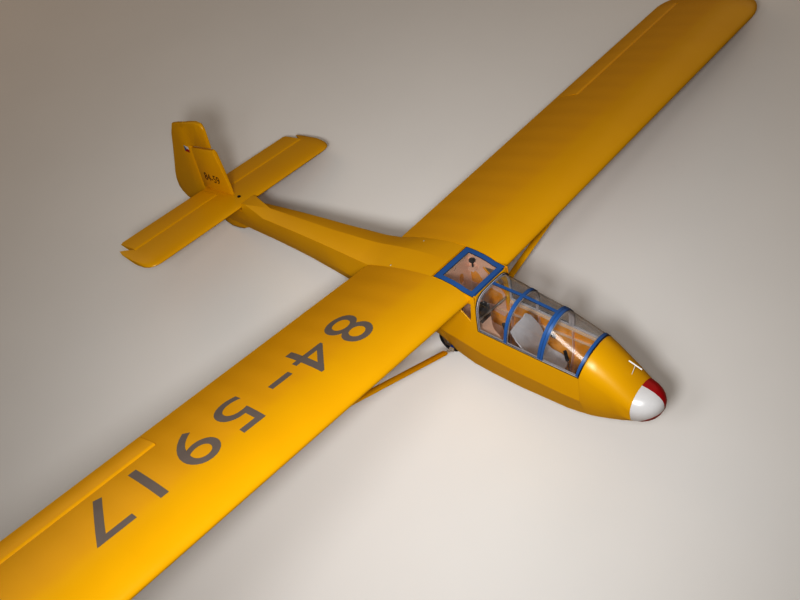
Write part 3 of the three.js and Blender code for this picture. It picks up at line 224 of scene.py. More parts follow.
# %% [markdown]
# ## Covering film
#
# The airframe is covered with iron-on polyester film, a thin glossy sheet shrunk tight over the wood. Where
# it lies on balsa sheet, as on the front third of the wing, it looks lighter and clearer; behind that it
# spans open bays between the ribs, looks deeper and hazier, and sinks a little between one rib and the next.
# One function makes all three films: the plain one for the body, the one that knows where the wing's sheeting
# and ribs are, and the duller inner side that shows in the cabin. The wing's leading edge and chord run
# straight, so the share of the chord at any point is simple arithmetic.

# %% Film
FILM_WAVE_MM = 140
FILM_GRAIN_MM = 7
FILM_ON_WOOD = linear("#e3ae00")
FILM_ON_WOOD_DEEP = linear("#dca400")
FILM_ON_BAYS = linear("#dea508")
FILM_INSIDE = linear("#eba62c")
FILM_INSIDE_DEEP = linear("#e09622")
HALF_SPAN_MM = 1684
ROOT_CHORD_MM = 375
CHORD_LOSS_MM = 5
LEADING_EDGE_MM = 523.4
FORWARD_SWEEP_MM = 44.6
SHEETED_SHARE = 0.345
SHEET_EDGE = 0.05
RIB_PITCH_MM = 85
RIB_HALF_MM = 2.5
RIB_SHADE = 0.15
FILM_SAG_M = 0.0012


def covering_film(name, over_ribs, light_tone=FILM_ON_WOOD, deep_tone=FILM_ON_WOOD_DEEP):
    """Polyester film: dyed through, so its colour drifts a little; ironed, so it has a fine orange peel."""
    made, place = new_material(name)
    drift = add(made, "TexNoise", {"Vector": place, "Scale": 1 / FILM_WAVE_MM, "Detail": 3}).outputs[0]
    mix = {0: drift, "A": light_tone, "B": deep_tone}
    colour = add(made, "Mix", mix, data_type="RGBA").outputs["Result"]
    wave = add(made, "Bump", {"Height": drift, "Strength": 0.35, "Distance": 0.003}).outputs[0]
    if over_ribs:
        axes = add(made, "SeparateXYZ", {0: place})
        across = math_node(made, "ABSOLUTE", axes.outputs[0])
        part = math_node(made, "DIVIDE", across, HALF_SPAN_MM)
        lead = math_node(made, "MULTIPLY_ADD", part, -FORWARD_SWEEP_MM, LEADING_EDGE_MM)
        chord = math_node(made, "MULTIPLY_ADD", part, -CHORD_LOSS_MM, ROOT_CHORD_MM)
        behind = math_node(made, "SUBTRACT", axes.outputs[1], lead)
        share = math_node(made, "DIVIDE", behind, chord)
        clear_to = SHEETED_SHARE - SHEET_EDGE
        hazy_from = SHEETED_SHARE + SHEET_EDGE
        edge = {0: share, "From Min": clear_to, "From Max": hazy_from}
        bays = add(made, "MapRange", edge, interpolation_type="SMOOTHSTEP").outputs[0]
        from_rib = math_node(made, "PINGPONG", across, RIB_PITCH_MM / 2)
        rib_edge = {0: from_rib, "From Min": RIB_HALF_MM, "From Max": 3 * RIB_HALF_MM}
        off_rib = add(made, "MapRange", rib_edge, interpolation_type="SMOOTHSTEP").outputs[0]
        shade = math_node(made, "MULTIPLY_ADD", off_rib, RIB_SHADE, 1 - RIB_SHADE)
        tint = math_node(made, "MULTIPLY", bays, shade)
        mix = {0: tint, "A": colour, "B": FILM_ON_BAYS}
        colour = add(made, "Mix", mix, data_type="RGBA").outputs["Result"]
        slack = {0: from_rib, "From Min": 0, "From Max": RIB_PITCH_MM / 2, "To Min": 1, "To Max": 0}
        sag = add(made, "MapRange", slack, interpolation_type="SMOOTHERSTEP").outputs[0]
        height = math_node(made, "MULTIPLY", sag, bays)
        bump = {"Height": height, "Strength": 0.45, "Distance": FILM_SAG_M, "Normal": wave}
        wave = add(made, "Bump", bump).outputs[0]
    grain = add(made, "TexNoise", {"Vector": place, "Scale": 1 / FILM_GRAIN_MM, "Detail": 2}).outputs[0]
    fine = {"Height": grain, "Strength": 0.06, "Distance": 0.0005, "Normal": wave}
    peel = add(made, "Bump", fine).outputs[0]
    smudge = {0: grain, "To Min": 0.27, "To Max": 0.37}
    gloss = add(made, "MapRange", smudge).outputs[0]
    look = {"Base Color": colour, "Roughness": gloss, "IOR": 1.45, "Normal": peel}
    return finish_material(made, add(made, "BsdfPrincipled", look))


film = covering_film("polyester_covering_film", False)
wing_film = covering_film("polyester_film_over_ribs", True)
inner_film = covering_film("polyester_film_inside", False, FILM_INSIDE, FILM_INSIDE_DEEP)
print("film nodes:", len(film.node_tree.nodes), "and over ribs:", len(wing_film.node_tree.nodes))

# %% [markdown]
# ## Paints, wood, plastic, metal and rubber
#
# These finishes share one build: two near colours mixed by a noise of a real size, and a slight relief from
# the same noise. A stretch along the craft turns the noise into wood grain or the lay of a rolled sheet.
#
# - The glazing strips are self-adhesive vinyl trim, smooth and fairly glossy.
# - The arches inside the glazing are glass-fibre mouldings in grey-white primer.
# - The formers and floor are birch plywood, and the long rails are spruce, paler and with a straighter grain.
# - The front seat is a shell of grey foamed plastic sheet, matt and finely pitted.
# - The sticks and rods are drawn steel wire, the grips are black foam rubber and the servo's case is moulded
#   nylon.
# - The rod forks of the struts and the screws are galvanised, so they are paler and duller than bare steel.
# - The pitot tube is in white enamel, smooth and glossy, and the nose skid is varnished ash with a long
#   grain.
# - The tyre is black rubber, matt and slightly rough, on a hub of dyed blue nylon with a satin sheen.
# - The numbers are cut from thin grey vinyl, and the small marks are printed or cut from trim tape. The edge
#   faces of the glazing strips are nearly black: painted shade for the shadow along each strip's edge.

# %% Plain finishes
# name: first colour, second colour, roughness, metallic, grain mm (x, y, z), relief
PLAIN = {
    "vinyl_trim_tape": ("#3a6ba8", "#335f98", 0.35, 0.0, (50, 50, 50), 0.08),
    "primed_glass_fibre": ("#c3c0c2", "#aeabae", 0.5, 0.0, (9, 9, 9), 0.25),
    "white_enamel": ("#e8e8ea", "#dcdce0", 0.3, 0.0, (30, 30, 30), 0.08),
    "birch_plywood": ("#eec6ae", "#deb499", 0.62, 0.0, (3, 40, 3), 0.35),
    "spruce_strip": ("#ecd0b2", "#dcbc9c", 0.6, 0.0, (1.2, 60, 1.2), 0.3),
    "varnished_ash": ("#b98a55", "#9d7140", 0.35, 0.0, (1.6, 55, 1.6), 0.25),
    "foamed_plastic_sheet": ("#d6d4d6", "#c6c4c7", 0.7, 0.0, (2.2, 2.2, 2.2), 0.5),
    "drawn_steel": ("#c4c6c9", "#aeb1b6", 0.3, 1.0, (1.5, 25, 1.5), 0.12),
    "moulded_nylon": ("#232125", "#19181b", 0.4, 0.0, (4, 4, 4), 0.15),
    "foam_rubber": ("#1b1b1d", "#111113", 0.85, 0.0, (1.5, 1.5, 1.5), 0.9),
    "tyre_rubber": ("#1a1a1d", "#242427", 0.75, 0.0, (3, 3, 3), 0.4),
    "blue_nylon": ("#2058b4", "#1b4fa4", 0.38, 0.0, (12, 12, 12), 0.1),
    # painted shade: this nearly black colour on the strips' edge faces stands for the shadow along their edges
    "tape_edge_painted_shade": ("#2a3550", "#232c44", 0.5, 0.0, (20, 20, 20), 0.1),
    "red_trim_tape": ("#b01420", "#a20f1b", 0.35, 0.0, (50, 50, 50), 0.05),
    "printed_brown": ("#5a2413", "#4c1e0f", 0.5, 0.0, (20, 20, 20), 0.05),
    "galvanised_wire": ("#d8d6d1", "#c8c5bf", 0.4, 0.6, (1.5, 25, 1.5), 0.12),
    "cut_vinyl_number": ("#7a706a", "#6f655f", 0.42, 0.0, (40, 40, 40), 0.06),
}
DARK_LINE = linear("#20283a")


def beyond_planes(material, place, planes):
    """A mask that is 1 beyond any of the planes; each has a direction and starts at a distance in mm."""
    axes = add(material, "SeparateXYZ", {0: place})
    across = math_node(material, "ABSOLUTE", axes.outputs[0])
    folded = add(material, "CombineXYZ", {0: across, 1: axes.outputs[1], 2: axes.outputs[2]}).outputs[0]
    mask = 0.0
    for direction, start in planes:
        along = add(material, "VectorMath", {0: folded, 1: direction}, operation="DOT_PRODUCT")
        past = math_node(material, "GREATER_THAN", along.outputs["Value"], start)
        mask = math_node(material, "MAXIMUM", mask, past)
    return mask


def plain_finish(name, recipe, dark_beyond=()):
    """A finish from one line of the table; beyond any of the given planes it is dark."""
    first, second, roughness, metallic, grain_mm, relief = recipe
    made, place = new_material(name)
    laid = add(made, "Mapping", {"Vector": place, "Scale": [1 / size for size in grain_mm]})
    speckle = add(made, "TexNoise", {"Vector": laid.outputs[0], "Scale": 1, "Detail": 4}).outputs[0]
    mix = {0: speckle, "A": linear(first), "B": linear(second)}
    colour = add(made, "Mix", mix, data_type="RGBA").outputs["Result"]
    if dark_beyond:
        mix = {0: beyond_planes(made, place, dark_beyond), "A": colour, "B": DARK_LINE}
        colour = add(made, "Mix", mix, data_type="RGBA").outputs["Result"]
    bump = add(made, "Bump", {"Height": speckle, "Strength": relief, "Distance": 0.0004}).outputs[0]
    look = {"Base Color": colour, "Roughness": roughness, "Metallic": metallic, "Normal": bump}
    return finish_material(made, add(made, "BsdfPrincipled", look))


finishes = {name: plain_finish(name, recipe) for name, recipe in PLAIN.items()}
print("finishes:", sorted(finishes))

# %% [markdown]
# A thin dark line of shadow and sealant follows every joint of the glazing: along the sill, behind the
# canopy's rear arch, in front of the windscreen and round the skylight. All four joints are straight when
# seen from the side, so planes find them. The left and right sides are alike, and the first coordinate is
# taken without sign.

# %% Finishes with dark joint lines
SILL_LINE = ((0, 0.0589, -1), 121.1)
REAR_ARCH_LINE = ((0, 1, 0), 502.4)
FRONT_ARCH_LINE = ((0, -1, -0.234), -172.4)
SKYLIGHT_LINES = [((1, 0, 0), 73.3), ((0, -1, 0), -510.4), ((0, 1, 0), 640.3)]
RAIL_LINES = [SILL_LINE, REAR_ARCH_LINE, FRONT_ARCH_LINE]
TAPE_LINES = [SILL_LINE, FRONT_ARCH_LINE]
primer, tape_blue = PLAIN["primed_glass_fibre"], PLAIN["vinyl_trim_tape"]
finishes["rail_primer"] = plain_finish("primed_glass_fibre_rail", primer, RAIL_LINES)
finishes["glazing_tape"] = plain_finish("vinyl_trim_on_glazing", tape_blue, TAPE_LINES)
finishes["skylight_tape"] = plain_finish("vinyl_trim_on_skylight", tape_blue, SKYLIGHT_LINES)
print("joint lines:", len(RAIL_LINES) + len(SKYLIGHT_LINES))

# %% [markdown]
# ## Glazing
#
# The windscreen and the canopy are vacuum-formed clear sheet, about a millimetre thick. So thin a sheet
# hardly bends light, so a mix of transparent and glossy is quieter and faster than real refraction. The share
# of gloss grows towards grazing angles as the fifth power of the facing value. That is the usual short form
# of how clear sheet reflects, and it stays the same on the sheet's inner side. A trace of white stands for
# dust and fine scratches.

# %% Clear sheet
HEAD_ON_GLOSS = 0.04
GRAZING_GLOSS = 0.9
GLOSS_POWER = 5
SHEET_ROUGHNESS = 0.14
DUST_MM = 18
DUST_SHARE = 0.06
glazing, glazing_place = new_material("clear_formed_sheet")
see_through = add(glazing, "BsdfTransparent", {"Color": (0.95, 0.955, 0.96, 1)})
gloss = add(glazing, "BsdfGlossy", {"Color": (1, 1, 1, 1), "Roughness": SHEET_ROUGHNESS})
facing = add(glazing, "LayerWeight", {"Blend": 0.5}).outputs["Facing"]
steep = math_node(glazing, "POWER", facing, GLOSS_POWER)
share = math_node(glazing, "MULTIPLY_ADD", steep, GRAZING_GLOSS - HEAD_ON_GLOSS, HEAD_ON_GLOSS)
sheet_mix = add(glazing, "MixShader", {0: share, 1: see_through.outputs[0], 2: gloss.outputs[0]})
dust = add(glazing, "TexNoise", {"Vector": glazing_place, "Scale": 1 / DUST_MM, "Detail": 5}).outputs[0]
dust_range = {0: dust, "From Min": 0.35, "From Max": 0.75, "To Max": DUST_SHARE}
dust_share = add(glazing, "MapRange", dust_range).outputs[0]
haze = add(glazing, "BsdfDiffuse", {"Color": linear("#d9d6d6")})
dusty = add(glazing, "MixShader", {0: dust_share, 1: sheet_mix.outputs[0], 2: haze.outputs[0]})
finish_material(glazing, dusty)
print("glazing:", len(glazing.node_tree.nodes), "nodes")

# %% [markdown]
# ## Nose cap paint
#
# The cap is painted in four fields, white and red in turn. One border runs down the middle of the craft, and
# the other is a plane that rises towards the tip. Comparing a point with the two planes gives two masks, 0 on
# one side and 1 on the other, and where they differ the paint is white.

# %% Quartered enamel
CAP_BORDER_Z = -184
CAP_BORDER_SLOPE = -0.51
PAINT_EDGE_MM = 0.5
CAP_PATCH_MM = 14
cap_paint, cap_place = new_material("quartered_enamel")
cap_axes = add(cap_paint, "SeparateXYZ", {0: cap_place})
border = math_node(cap_paint, "MULTIPLY_ADD", cap_axes.outputs[1], CAP_BORDER_SLOPE, CAP_BORDER_Z)
above = math_node(cap_paint, "SUBTRACT", cap_axes.outputs[2], border)
to_port = {0: cap_axes.outputs[0], "From Min": -PAINT_EDGE_MM, "From Max": PAINT_EDGE_MM}
upward = {0: above, "From Min": -PAINT_EDGE_MM, "From Max": PAINT_EDGE_MM}
port_mask = add(cap_paint, "MapRange", to_port).outputs[0]
upper_mask = add(cap_paint, "MapRange", upward).outputs[0]
unlike = math_node(cap_paint, "SUBTRACT", port_mask, upper_mask)
white_share = math_node(cap_paint, "ABSOLUTE", unlike)
cap_patches = {"Vector": cap_place, "Scale": 1 / CAP_PATCH_MM, "Detail": 3}
cap_noise = add(cap_paint, "TexNoise", cap_patches).outputs[0]
red_tones = {0: cap_noise, "A": linear("#b30316"), "B": linear("#a00012")}
red = add(cap_paint, "Mix", red_tones, data_type="RGBA")
white_tones = {0: cap_noise, "A": linear("#e0dfdf"), "B": linear("#d6d5d6")}
white = add(cap_paint, "Mix", white_tones, data_type="RGBA")
both = {0: white_share, "A": red.outputs["Result"], "B": white.outputs["Result"]}
cap_colour = add(cap_paint, "Mix", both, data_type="RGBA").outputs["Result"]
cap_bump = add(cap_paint, "Bump", {"Height": cap_noise, "Strength": 0.15, "Distance": 0.0006}).outputs[0]
cap_look = {"Base Color": cap_colour, "Roughness": 0.3, "Normal": cap_bump}
finish_material(cap_paint, add(cap_paint, "BsdfPrincipled", cap_look))
print("cap paint:", len(cap_paint.node_tree.nodes), "nodes")

# %% [markdown]
# ## From a frame node to a finished skin
#
# A frame node is a net of loose flat triangles. Its copy is merged into one surface and shaded smooth, except
# where the surface turns by more than a set angle, so a wing is round over its nose and still has a crisp
# edge at its root. The fin, the rudder and the tail skid also get their edges rounded, as wooden edges are
# sanded before they are covered. Rounding works on clean outlines, so the flat triangles are first dissolved
# into whole faces.

# %% Helpers for skins and new pieces
MERGE_M = 0.00002
FLAT_WITHIN = math.radians(0.5)
CORNER_FROM = math.radians(40)
body_of = {node: body for body, nodes in frame["record"]["behaviour"]["bodies"].items() for node in nodes}
slot_of = {subpart["node"]: subpart["material_slot"] for subpart in frame["record"]["subparts"]}


def finished(shape, name, body, material, sharp_degrees=30):
    """Makes a bmesh in scene metres an object that rides on a body, smooth but for its sharp edges."""
    limit = math.radians(sharp_degrees)
    for face in shape.faces:
        face.smooth = True
    for edge in shape.edges:
        edge.smooth = len(edge.link_faces) == 2 and edge.calc_face_angle() < limit
    data = bpy.data.meshes.new(name)
    shape.to_mesh(data)
    shape.free()
    if "custom_normal" in data.attributes:
        data.attributes.remove(data.attributes["custom_normal"])
    data.materials.append(material)
    piece = bpy.data.objects.new(name, data)
    bpy.context.scene.collection.objects.link(piece)
    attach(piece, body)
    return piece


def skin(node, material, sharp_degrees=38, rounding_mm=0):
    """A merged, smooth copy of a frame node that stands for it."""
    shape = bmesh.new()
    shape.from_mesh(frame["nodes"][node].data)
    bmesh.ops.remove_doubles(shape, verts=shape.verts, dist=MERGE_M)
    if rounding_mm:
        bmesh.ops.dissolve_limit(shape, angle_limit=FLAT_WITHIN, verts=shape.verts, edges=shape.edges)
        joined = [edge for edge in shape.edges if len(edge.link_faces) == 2]
        corners = [edge for edge in joined if edge.calc_face_angle() > CORNER_FROM]
        bmesh.ops.bevel(
            shape,
            geom=corners,
            offset=rounding_mm / 1000,
            offset_type="OFFSET",
            affect="EDGES",
            segments=3,
            profile=0.5,
            material=-1,
            clamp_overlap=True,
        )
    piece = finished(shape, node + "_skin", body_of[node], material, sharp_degrees)
    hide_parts(node)
    return piece


# %% Skins of the film, the glazing and the round parts
# node: material, sharp angle, edge rounding mm
SKINS = {
    "nose_cap": (cap_paint, 60, 0),
    "nose_shell": (film, 30, 0),
    "pod_side_left": (film, 38, 0),
    "pod_side_right": (film, 38, 0),
    "pod_belly": (film, 38, 0),
    "rear_fuselage": (film, 24, 0),
    "cabin_arch": (film, 45, 0),
    "skylight_frame": (finishes["skylight_tape"], 40, 0),
    "skylight_pane": (glazing, 40, 0),
    "windscreen_pane": (glazing, 40, 0),
    "windscreen_frame": (finishes["glazing_tape"], 40, 0),
    "windscreen_inner_frame": (finishes["primed_glass_fibre"], 40, 0),
    "canopy_pane": (glazing, 40, 0),
    "canopy_frame": (finishes["glazing_tape"], 40, 0),
    "canopy_inner_frame": (finishes["primed_glass_fibre"], 40, 0),
    "front_seat": (finishes["foamed_plastic_sheet"], 50, 0),
    "rear_seat": (finishes["birch_plywood"], 50, 0),
    "wing_left": (wing_film, 40, 0),
    "wing_right": (wing_film, 40, 0),
    "aileron_left": (wing_film, 40, 0),
    "aileron_right": (wing_film, 40, 0),
    "strut_left": (film, 50, 0),
    "strut_right": (film, 50, 0),
    "tailplane": (film, 40, 0),
    "elevator_left": (film, 40, 0),
    "elevator_right": (film, 40, 0),
    "fin": (film, 35, 1.5),
    "rudder": (film, 35, 1.5),
    "tail_skid": (film, 35, 1.0),
    "wheel_tyre": (finishes["tyre_rubber"], 60, 0),
    "wheel_hub": (finishes["blue_nylon"], 35, 0),
    "pitot": (finishes["white_enamel"], 40, 0),
}
skins = {}
for node, (material, sharp_degrees, rounding_mm) in SKINS.items():
    skins[node] = skin(node, material, sharp_degrees, rounding_mm)
print("skins:", len(skins), "of", len(frame["nodes"]), "nodes")

# %% [markdown]
# ## Sides of the glazing strips
#
# Only the outer side of a glazing strip is blue. Seen through the clear sheet its inner side is the primed
# moulding, and the rails along the sill and the canopy's rear arch were never taped at all: they stay in grey
# primer over a thin dark line. The edge faces of a strip are nearly black: painted shade for the shadow along
# its edge. Every face says by the way it looks which of these it belongs to: away from the craft's middle
# line, towards it, or along it.

# %% Faces of the strips
SILL_FRONT = (196, -112.6)
SILL_SLOPE = 0.0589
UNTAPED_ABOVE_SILL_MM = 5.6
REAR_ARCH_FROM_Y = 499.5
ARCH_MIDDLE_Z = -60
BLUE_SIDE = 0
PRIMED_SIDE = 1
EDGE_PAINTED_SHADE = 2
EDGE_ON = 0.5
into_craft = CRAFT.inverted()


def sides_of_strip(node, runs_flat=False):
    """Gives the faces of a strip their finish by the way they look and where they are; returns the counts."""
    piece = skins[node]
    piece.data.materials.append(finishes["rail_primer"])
    piece.data.materials.append(finishes["tape_edge_painted_shade"])
    counts = [0, 0, 0]
    for face in piece.data.polygons:
        middle = into_craft @ face.center
        from_axis = Vector((middle.x, 0, middle.z - ARCH_MIDDLE_Z)).normalized()
        if runs_flat:
            from_axis = Vector((0, 0, 1))
        looks = face.normal.dot(craft_turn @ from_axis)
        sill = SILL_FRONT[1] + (middle.y - SILL_FRONT[0]) * SILL_SLOPE
        on_rail = middle.z < sill + UNTAPED_ABOVE_SILL_MM or middle.y > REAR_ARCH_FROM_Y
        is_untaped = on_rail and not runs_flat
        # edge-on faces get the nearly black painted shade of the strip's edge
        if abs(looks) < EDGE_ON:
            face.material_index = EDGE_PAINTED_SHADE
        elif looks < 0 or is_untaped:
            face.material_index = PRIMED_SIDE
        counts[face.material_index] += 1
    return counts


for node in ("windscreen_frame", "canopy_frame"):
    print(node, "blue, primed and edge faces:", sides_of_strip(node))
print("skylight_frame:", sides_of_strip("skylight_frame", runs_flat=True))

# %% [markdown]
# ## Inner side of the film
#
# Inside the cabin the film shows its other side through the bays of the airframe, where its adhesive makes it
# duller and more orange. Faces that look towards the middle of the pod get it. The nose shell closes all
# round, so its middle lies lower than that of the cabin. Measured from the cabin's middle, the top of the
# nose would count as inside.

# %% Faces of the film's inner side
INNER_FILM = 1
LOOKS_INWARD = -0.3
NOSE_MIDDLE_Z = -178
FILM_MIDDLE_Z = {
    "pod_side_left": ARCH_MIDDLE_Z,
    "pod_side_right": ARCH_MIDDLE_Z,
    "pod_belly": ARCH_MIDDLE_Z,
    "nose_shell": NOSE_MIDDLE_Z,
}


def film_inside(node, middle_z):
    """Gives the faces that look towards the middle the film's inner side and returns their count."""
    piece = skins[node]
    piece.data.materials.append(inner_film)
    count = 0
    for face in piece.data.polygons:
        middle = into_craft @ face.center
        outward = Vector((middle.x, 0, middle.z - middle_z)).normalized()
        if face.normal.dot(craft_turn @ outward) < LOOKS_INWARD:
            face.material_index = INNER_FILM
            count += 1
    return count


for node, middle_z in FILM_MIDDLE_Z.items():
    print(node, "inner faces:", film_inside(node, middle_z), "of", len(skins[node].data.polygons))

# %% [markdown]
# ## The other nodes
#
# Flat boards, rails and rods keep the shape the frame gives them and only get their materials.

# %% Materials of the other nodes
SLOT_FINISH = {
    "bare_wood": finishes["birch_plywood"],
    "clear_sheet": glazing,
    "steel": finishes["drawn_steel"],
    "black_plastic": finishes["moulded_nylon"],
}
NODE_FINISH = {
    "longeron_left": finishes["spruce_strip"],
    "longeron_right": finishes["spruce_strip"],
    "stringer_left": finishes["spruce_strip"],
    "stringer_right": finishes["spruce_strip"],
    "roof_frame": finishes["spruce_strip"],
    "nose_skid": finishes["varnished_ash"],
    "strut_fork_left": finishes["galvanised_wire"],
    "strut_fork_right": finishes["galvanised_wire"],
    "front_grip": finishes["foam_rubber"],
    "rear_grip": finishes["foam_rubber"],
}
for node in sorted(set(slot_of) - set(SKINS)):
    for material_slot in frame["nodes"][node].material_slots:
        material_slot.material = NODE_FINISH.get(node) or SLOT_FINISH[slot_of[node]]
print("other nodes:", len(set(slot_of) - set(SKINS)))

# %% [markdown]
# ## Numbers on the right wing
#
# The wing carries large plain numbers cut from thin grey vinyl. Text is the easy way to get round, even
# strokes, but its flat outline must follow the wing's curve. Each character is made a mesh, cut into a grid
# of small cells with bisecting planes, and every point is then dropped onto the wing's skin along the craft's
# vertical.

# %% A sheet laid on a skin
VINYL_MM = 0.25
SHEET_CELL_MM = 7
DROP_FROM_MM = 200


def flat_text(text):
    """A bmesh of flat characters in the size that the built-in letters have."""
    letters = bpy.data.curves.new("characters", "FONT")
    letters.body = text
    letters.resolution_u = 6
    holder = bpy.data.objects.new("characters", letters)
    bpy.context.scene.collection.objects.link(holder)
    depsgraph = bpy.context.evaluated_depsgraph_get()
    flat = bpy.data.meshes.new_from_object(holder.evaluated_get(depsgraph))
    bpy.data.objects.remove(holder)
    shape = bmesh.new()
    shape.from_mesh(flat)
    bpy.data.meshes.remove(flat)
    bmesh.ops.remove_doubles(shape, verts=shape.verts, dist=0.0005)
    return shape


def span(shape, axis):
    """The lowest and highest coordinate of a bmesh along an axis."""
    values = [vert.co[axis] for vert in shape.verts]
    return min(values), max(values)


def centred(shape, wide_scale, tall_scale):
    """Scales a flat bmesh and moves its middle to the origin."""
    middle = Vector((sum(span(shape, 0)) / 2, sum(span(shape, 1)) / 2, 0))
    bmesh.ops.translate(shape, vec=-middle, verts=shape.verts)
    bmesh.ops.scale(shape, vec=(wide_scale, tall_scale, 1), verts=shape.verts)


def cut_into_cells(shape, cell_mm):
    """Cuts a flat bmesh by two sets of planes, so that it can follow a curved skin."""
    for axis in (0, 1):
        low, high = span(shape, axis)
        for step in range(1, math.ceil((high - low) / cell_mm)):
            point = Vector((0, 0, 0))
            normal = Vector((0, 0, 0))
            point[axis] = low + step * cell_mm
            normal[axis] = 1
            everything = shape.verts[:] + shape.edges[:] + shape.faces[:]
            bmesh.ops.bisect_plane(shape, geom=everything, plane_co=point, plane_no=normal)


def skin_tree(node):
    """A search tree over a skin, for finding the place under a point."""
    return BVHTree.FromObject(skins[node], bpy.context.evaluated_depsgraph_get())


def lay(shape, tree, centre, right, upward, lift_mm):
    """Drops a flat bmesh in millimetres onto a skin; the directions are in the craft's axes."""
    outward = right.cross(upward)
    for vert in shape.verts:
        start = centre + right * vert.co.x + upward * vert.co.y + outward * DROP_FROM_MM
        hit, normal, *_ = tree.ray_cast(CRAFT @ start, craft_turn @ -outward)
        vert.co = hit + normal * lift_mm / 1000


def vinyl(shape, name, body, material):
    """Gives a laid sheet the thickness of vinyl and finishes it."""
    piece = finished(shape, name, body, material)
    sheet = piece.modifiers.new("vinyl", "SOLIDIFY")
    sheet.thickness = VINYL_MM / 1000
    sheet.offset = 1
    return piece


# %% Wing numbers
DIGIT_TALL_MM = 138
DIGIT_WIDENING = 1.08
DASH_WIDENING = 1.35
NUMBER_MIDDLE_Y = 686
# character and its middle's distance from the craft's middle, in mm
WING_NUMBER = [("8", 361), ("4", 490), ("-", 598), ("5", 733), ("9", 858), ("1", 984), ("7", 1102)]
STARBOARD = Vector((-1, 0, 0))
FORWARD = Vector((0, -1, 0))
UPWARD = Vector((0, 0, 1))
model_eight = flat_text("8")
low_8, high_8 = span(model_eight, 1)
model_eight.free()
digit_scale = DIGIT_TALL_MM / (high_8 - low_8)
right_wing = skin_tree("wing_right")
for place, (character, out) in enumerate(WING_NUMBER):
    shape = flat_text(character)
    widening = DASH_WIDENING if character == "-" else DIGIT_WIDENING
    centred(shape, digit_scale * widening, digit_scale)
    cut_into_cells(shape, SHEET_CELL_MM)
    lay(shape, right_wing, Vector((-out, NUMBER_MIDDLE_Y, 0)), STARBOARD, FORWARD, VINYL_MM / 2)
    vinyl(shape, f"wing_number_{place + 1}", "airframe", finishes["cut_vinyl_number"])
print("wing number:", "".join(character for character, _ in WING_NUMBER))

# %% [markdown]
# ## Small marks on the tail
#
# The fin carries a short dark number on each side and the rudder a small striped mark: white over red with a
# blue wedge at its rear edge. The mark's fields are cut from one rectangle with bisecting planes, and each
# face gets the colour of the field that its middle lies in.

# %% Fin number and rudder mark
FIN_NUMBER = "84-59"
FIN_NUMBER_AT = (1694, 13)
FIN_NUMBER_TALL_MM = 30
FIN_NUMBER_WIDE_MM = 84
MARK_AT = (1790, 106)
MARK_WIDE_MM = 27
MARK_TALL_MM = 23
RED_STRIPE = 1
BLUE_WEDGE = 2
sides = {"starboard": -1, "port": 1}
fin_tree = skin_tree("fin")
rudder_tree = skin_tree("rudder")
for side_name, side in sides.items():
    ahead = Vector((0, side, 0))
    shape = flat_text(FIN_NUMBER)
    left, right = span(shape, 0)
    low, high = span(shape, 1)
    centred(shape, FIN_NUMBER_WIDE_MM / (right - left), FIN_NUMBER_TALL_MM / (high - low))
    lay(shape, fin_tree, Vector((0, *FIN_NUMBER_AT)), ahead, UPWARD, VINYL_MM / 2)
    vinyl(shape, f"fin_number_{side_name}", "airframe", finishes["printed_brown"])
    shape = bmesh.new()
    bmesh.ops.create_grid(shape, x_segments=1, y_segments=1, size=0.5)
    bmesh.ops.scale(shape, vec=(MARK_WIDE_MM, MARK_TALL_MM, 1), verts=shape.verts)
    cuts = [(Vector((0, 0, 0)), Vector((0, 1, 0)))]
    cuts += [(Vector((0, 0, 0)), Vector((MARK_TALL_MM, way * MARK_WIDE_MM, 0))) for way in (1, -1)]
    for point, normal in cuts:
        everything = shape.verts[:] + shape.edges[:] + shape.faces[:]
        bmesh.ops.bisect_plane(shape, geom=everything, plane_co=point, plane_no=normal)
    for face in shape.faces:
        middle = face.calc_center_median()
        in_wedge = side * middle.x > abs(middle.y) * MARK_WIDE_MM / MARK_TALL_MM
        if in_wedge:
            face.material_index = BLUE_WEDGE
        elif middle.y <= 0:
            face.material_index = RED_STRIPE
    lay(shape, rudder_tree, Vector((0, *MARK_AT)), ahead, UPWARD, VINYL_MM / 2)
    mark = vinyl(shape, f"rudder_mark_{side_name}", "rudder", finishes["white_enamel"])
    mark.data.materials.append(finishes["red_trim_tape"])
    mark.data.materials.append(finishes["vinyl_trim_tape"])
print("marks on", len(sides), "sides")

# %% [markdown]
# ## Boards and small parts in the cabin
#
# Behind the film the cabin's walls are plywood boards with holes cut to save weight. A board is an outline
# with its holes, filled and then given a thickness, and its corners are rounded as a fretsaw leaves them.
# Anything round is a profile turned about an axis.

# %% Helpers for boards and turned parts
def rounded(corners, reach, steps=4):
    """An outline with its corners rounded; reach is how far from a corner its curve begins, in mm."""
    outline = []
    for place, corner in enumerate(corners):
        here = Vector(corner)
        before = Vector(corners[place - 1]) - here
        after = Vector(corners[(place + 1) % len(corners)]) - here
        start = here + before.normalized() * min(reach, before.length / 2.2)
        end = here + after.normalized() * min(reach, after.length / 2.2)
        for step in range(steps + 1):
            share = step / steps
            outline.append(start.lerp(here, share).lerp(here.lerp(end, share), share))
    return outline


def board(name, outlines, turn, thickness, material, body="airframe"):
    """A flat piece in mm: its edge, then its holes; turn lays the drawing in the craft."""
    shape = bmesh.new()
    edges = []
    for outline in outlines:
        corners = [shape.verts.new((*corner, 0)) for corner in outline]
        edges += [shape.edges.new((corners[place - 1], corner)) for place, corner in enumerate(corners)]
    bmesh.ops.triangle_fill(shape, edges=edges, use_beauty=True)
    grown = bmesh.ops.extrude_face_region(shape, geom=shape.faces[:])["geom"]
    raised = [part for part in grown if isinstance(part, bmesh.types.BMVert)]
    bmesh.ops.translate(shape, vec=(0, 0, thickness), verts=raised)
    bmesh.ops.transform(shape, matrix=CRAFT @ turn, verts=shape.verts)
    bmesh.ops.recalc_face_normals(shape, faces=shape.faces)
    return finished(shape, name, body, material)


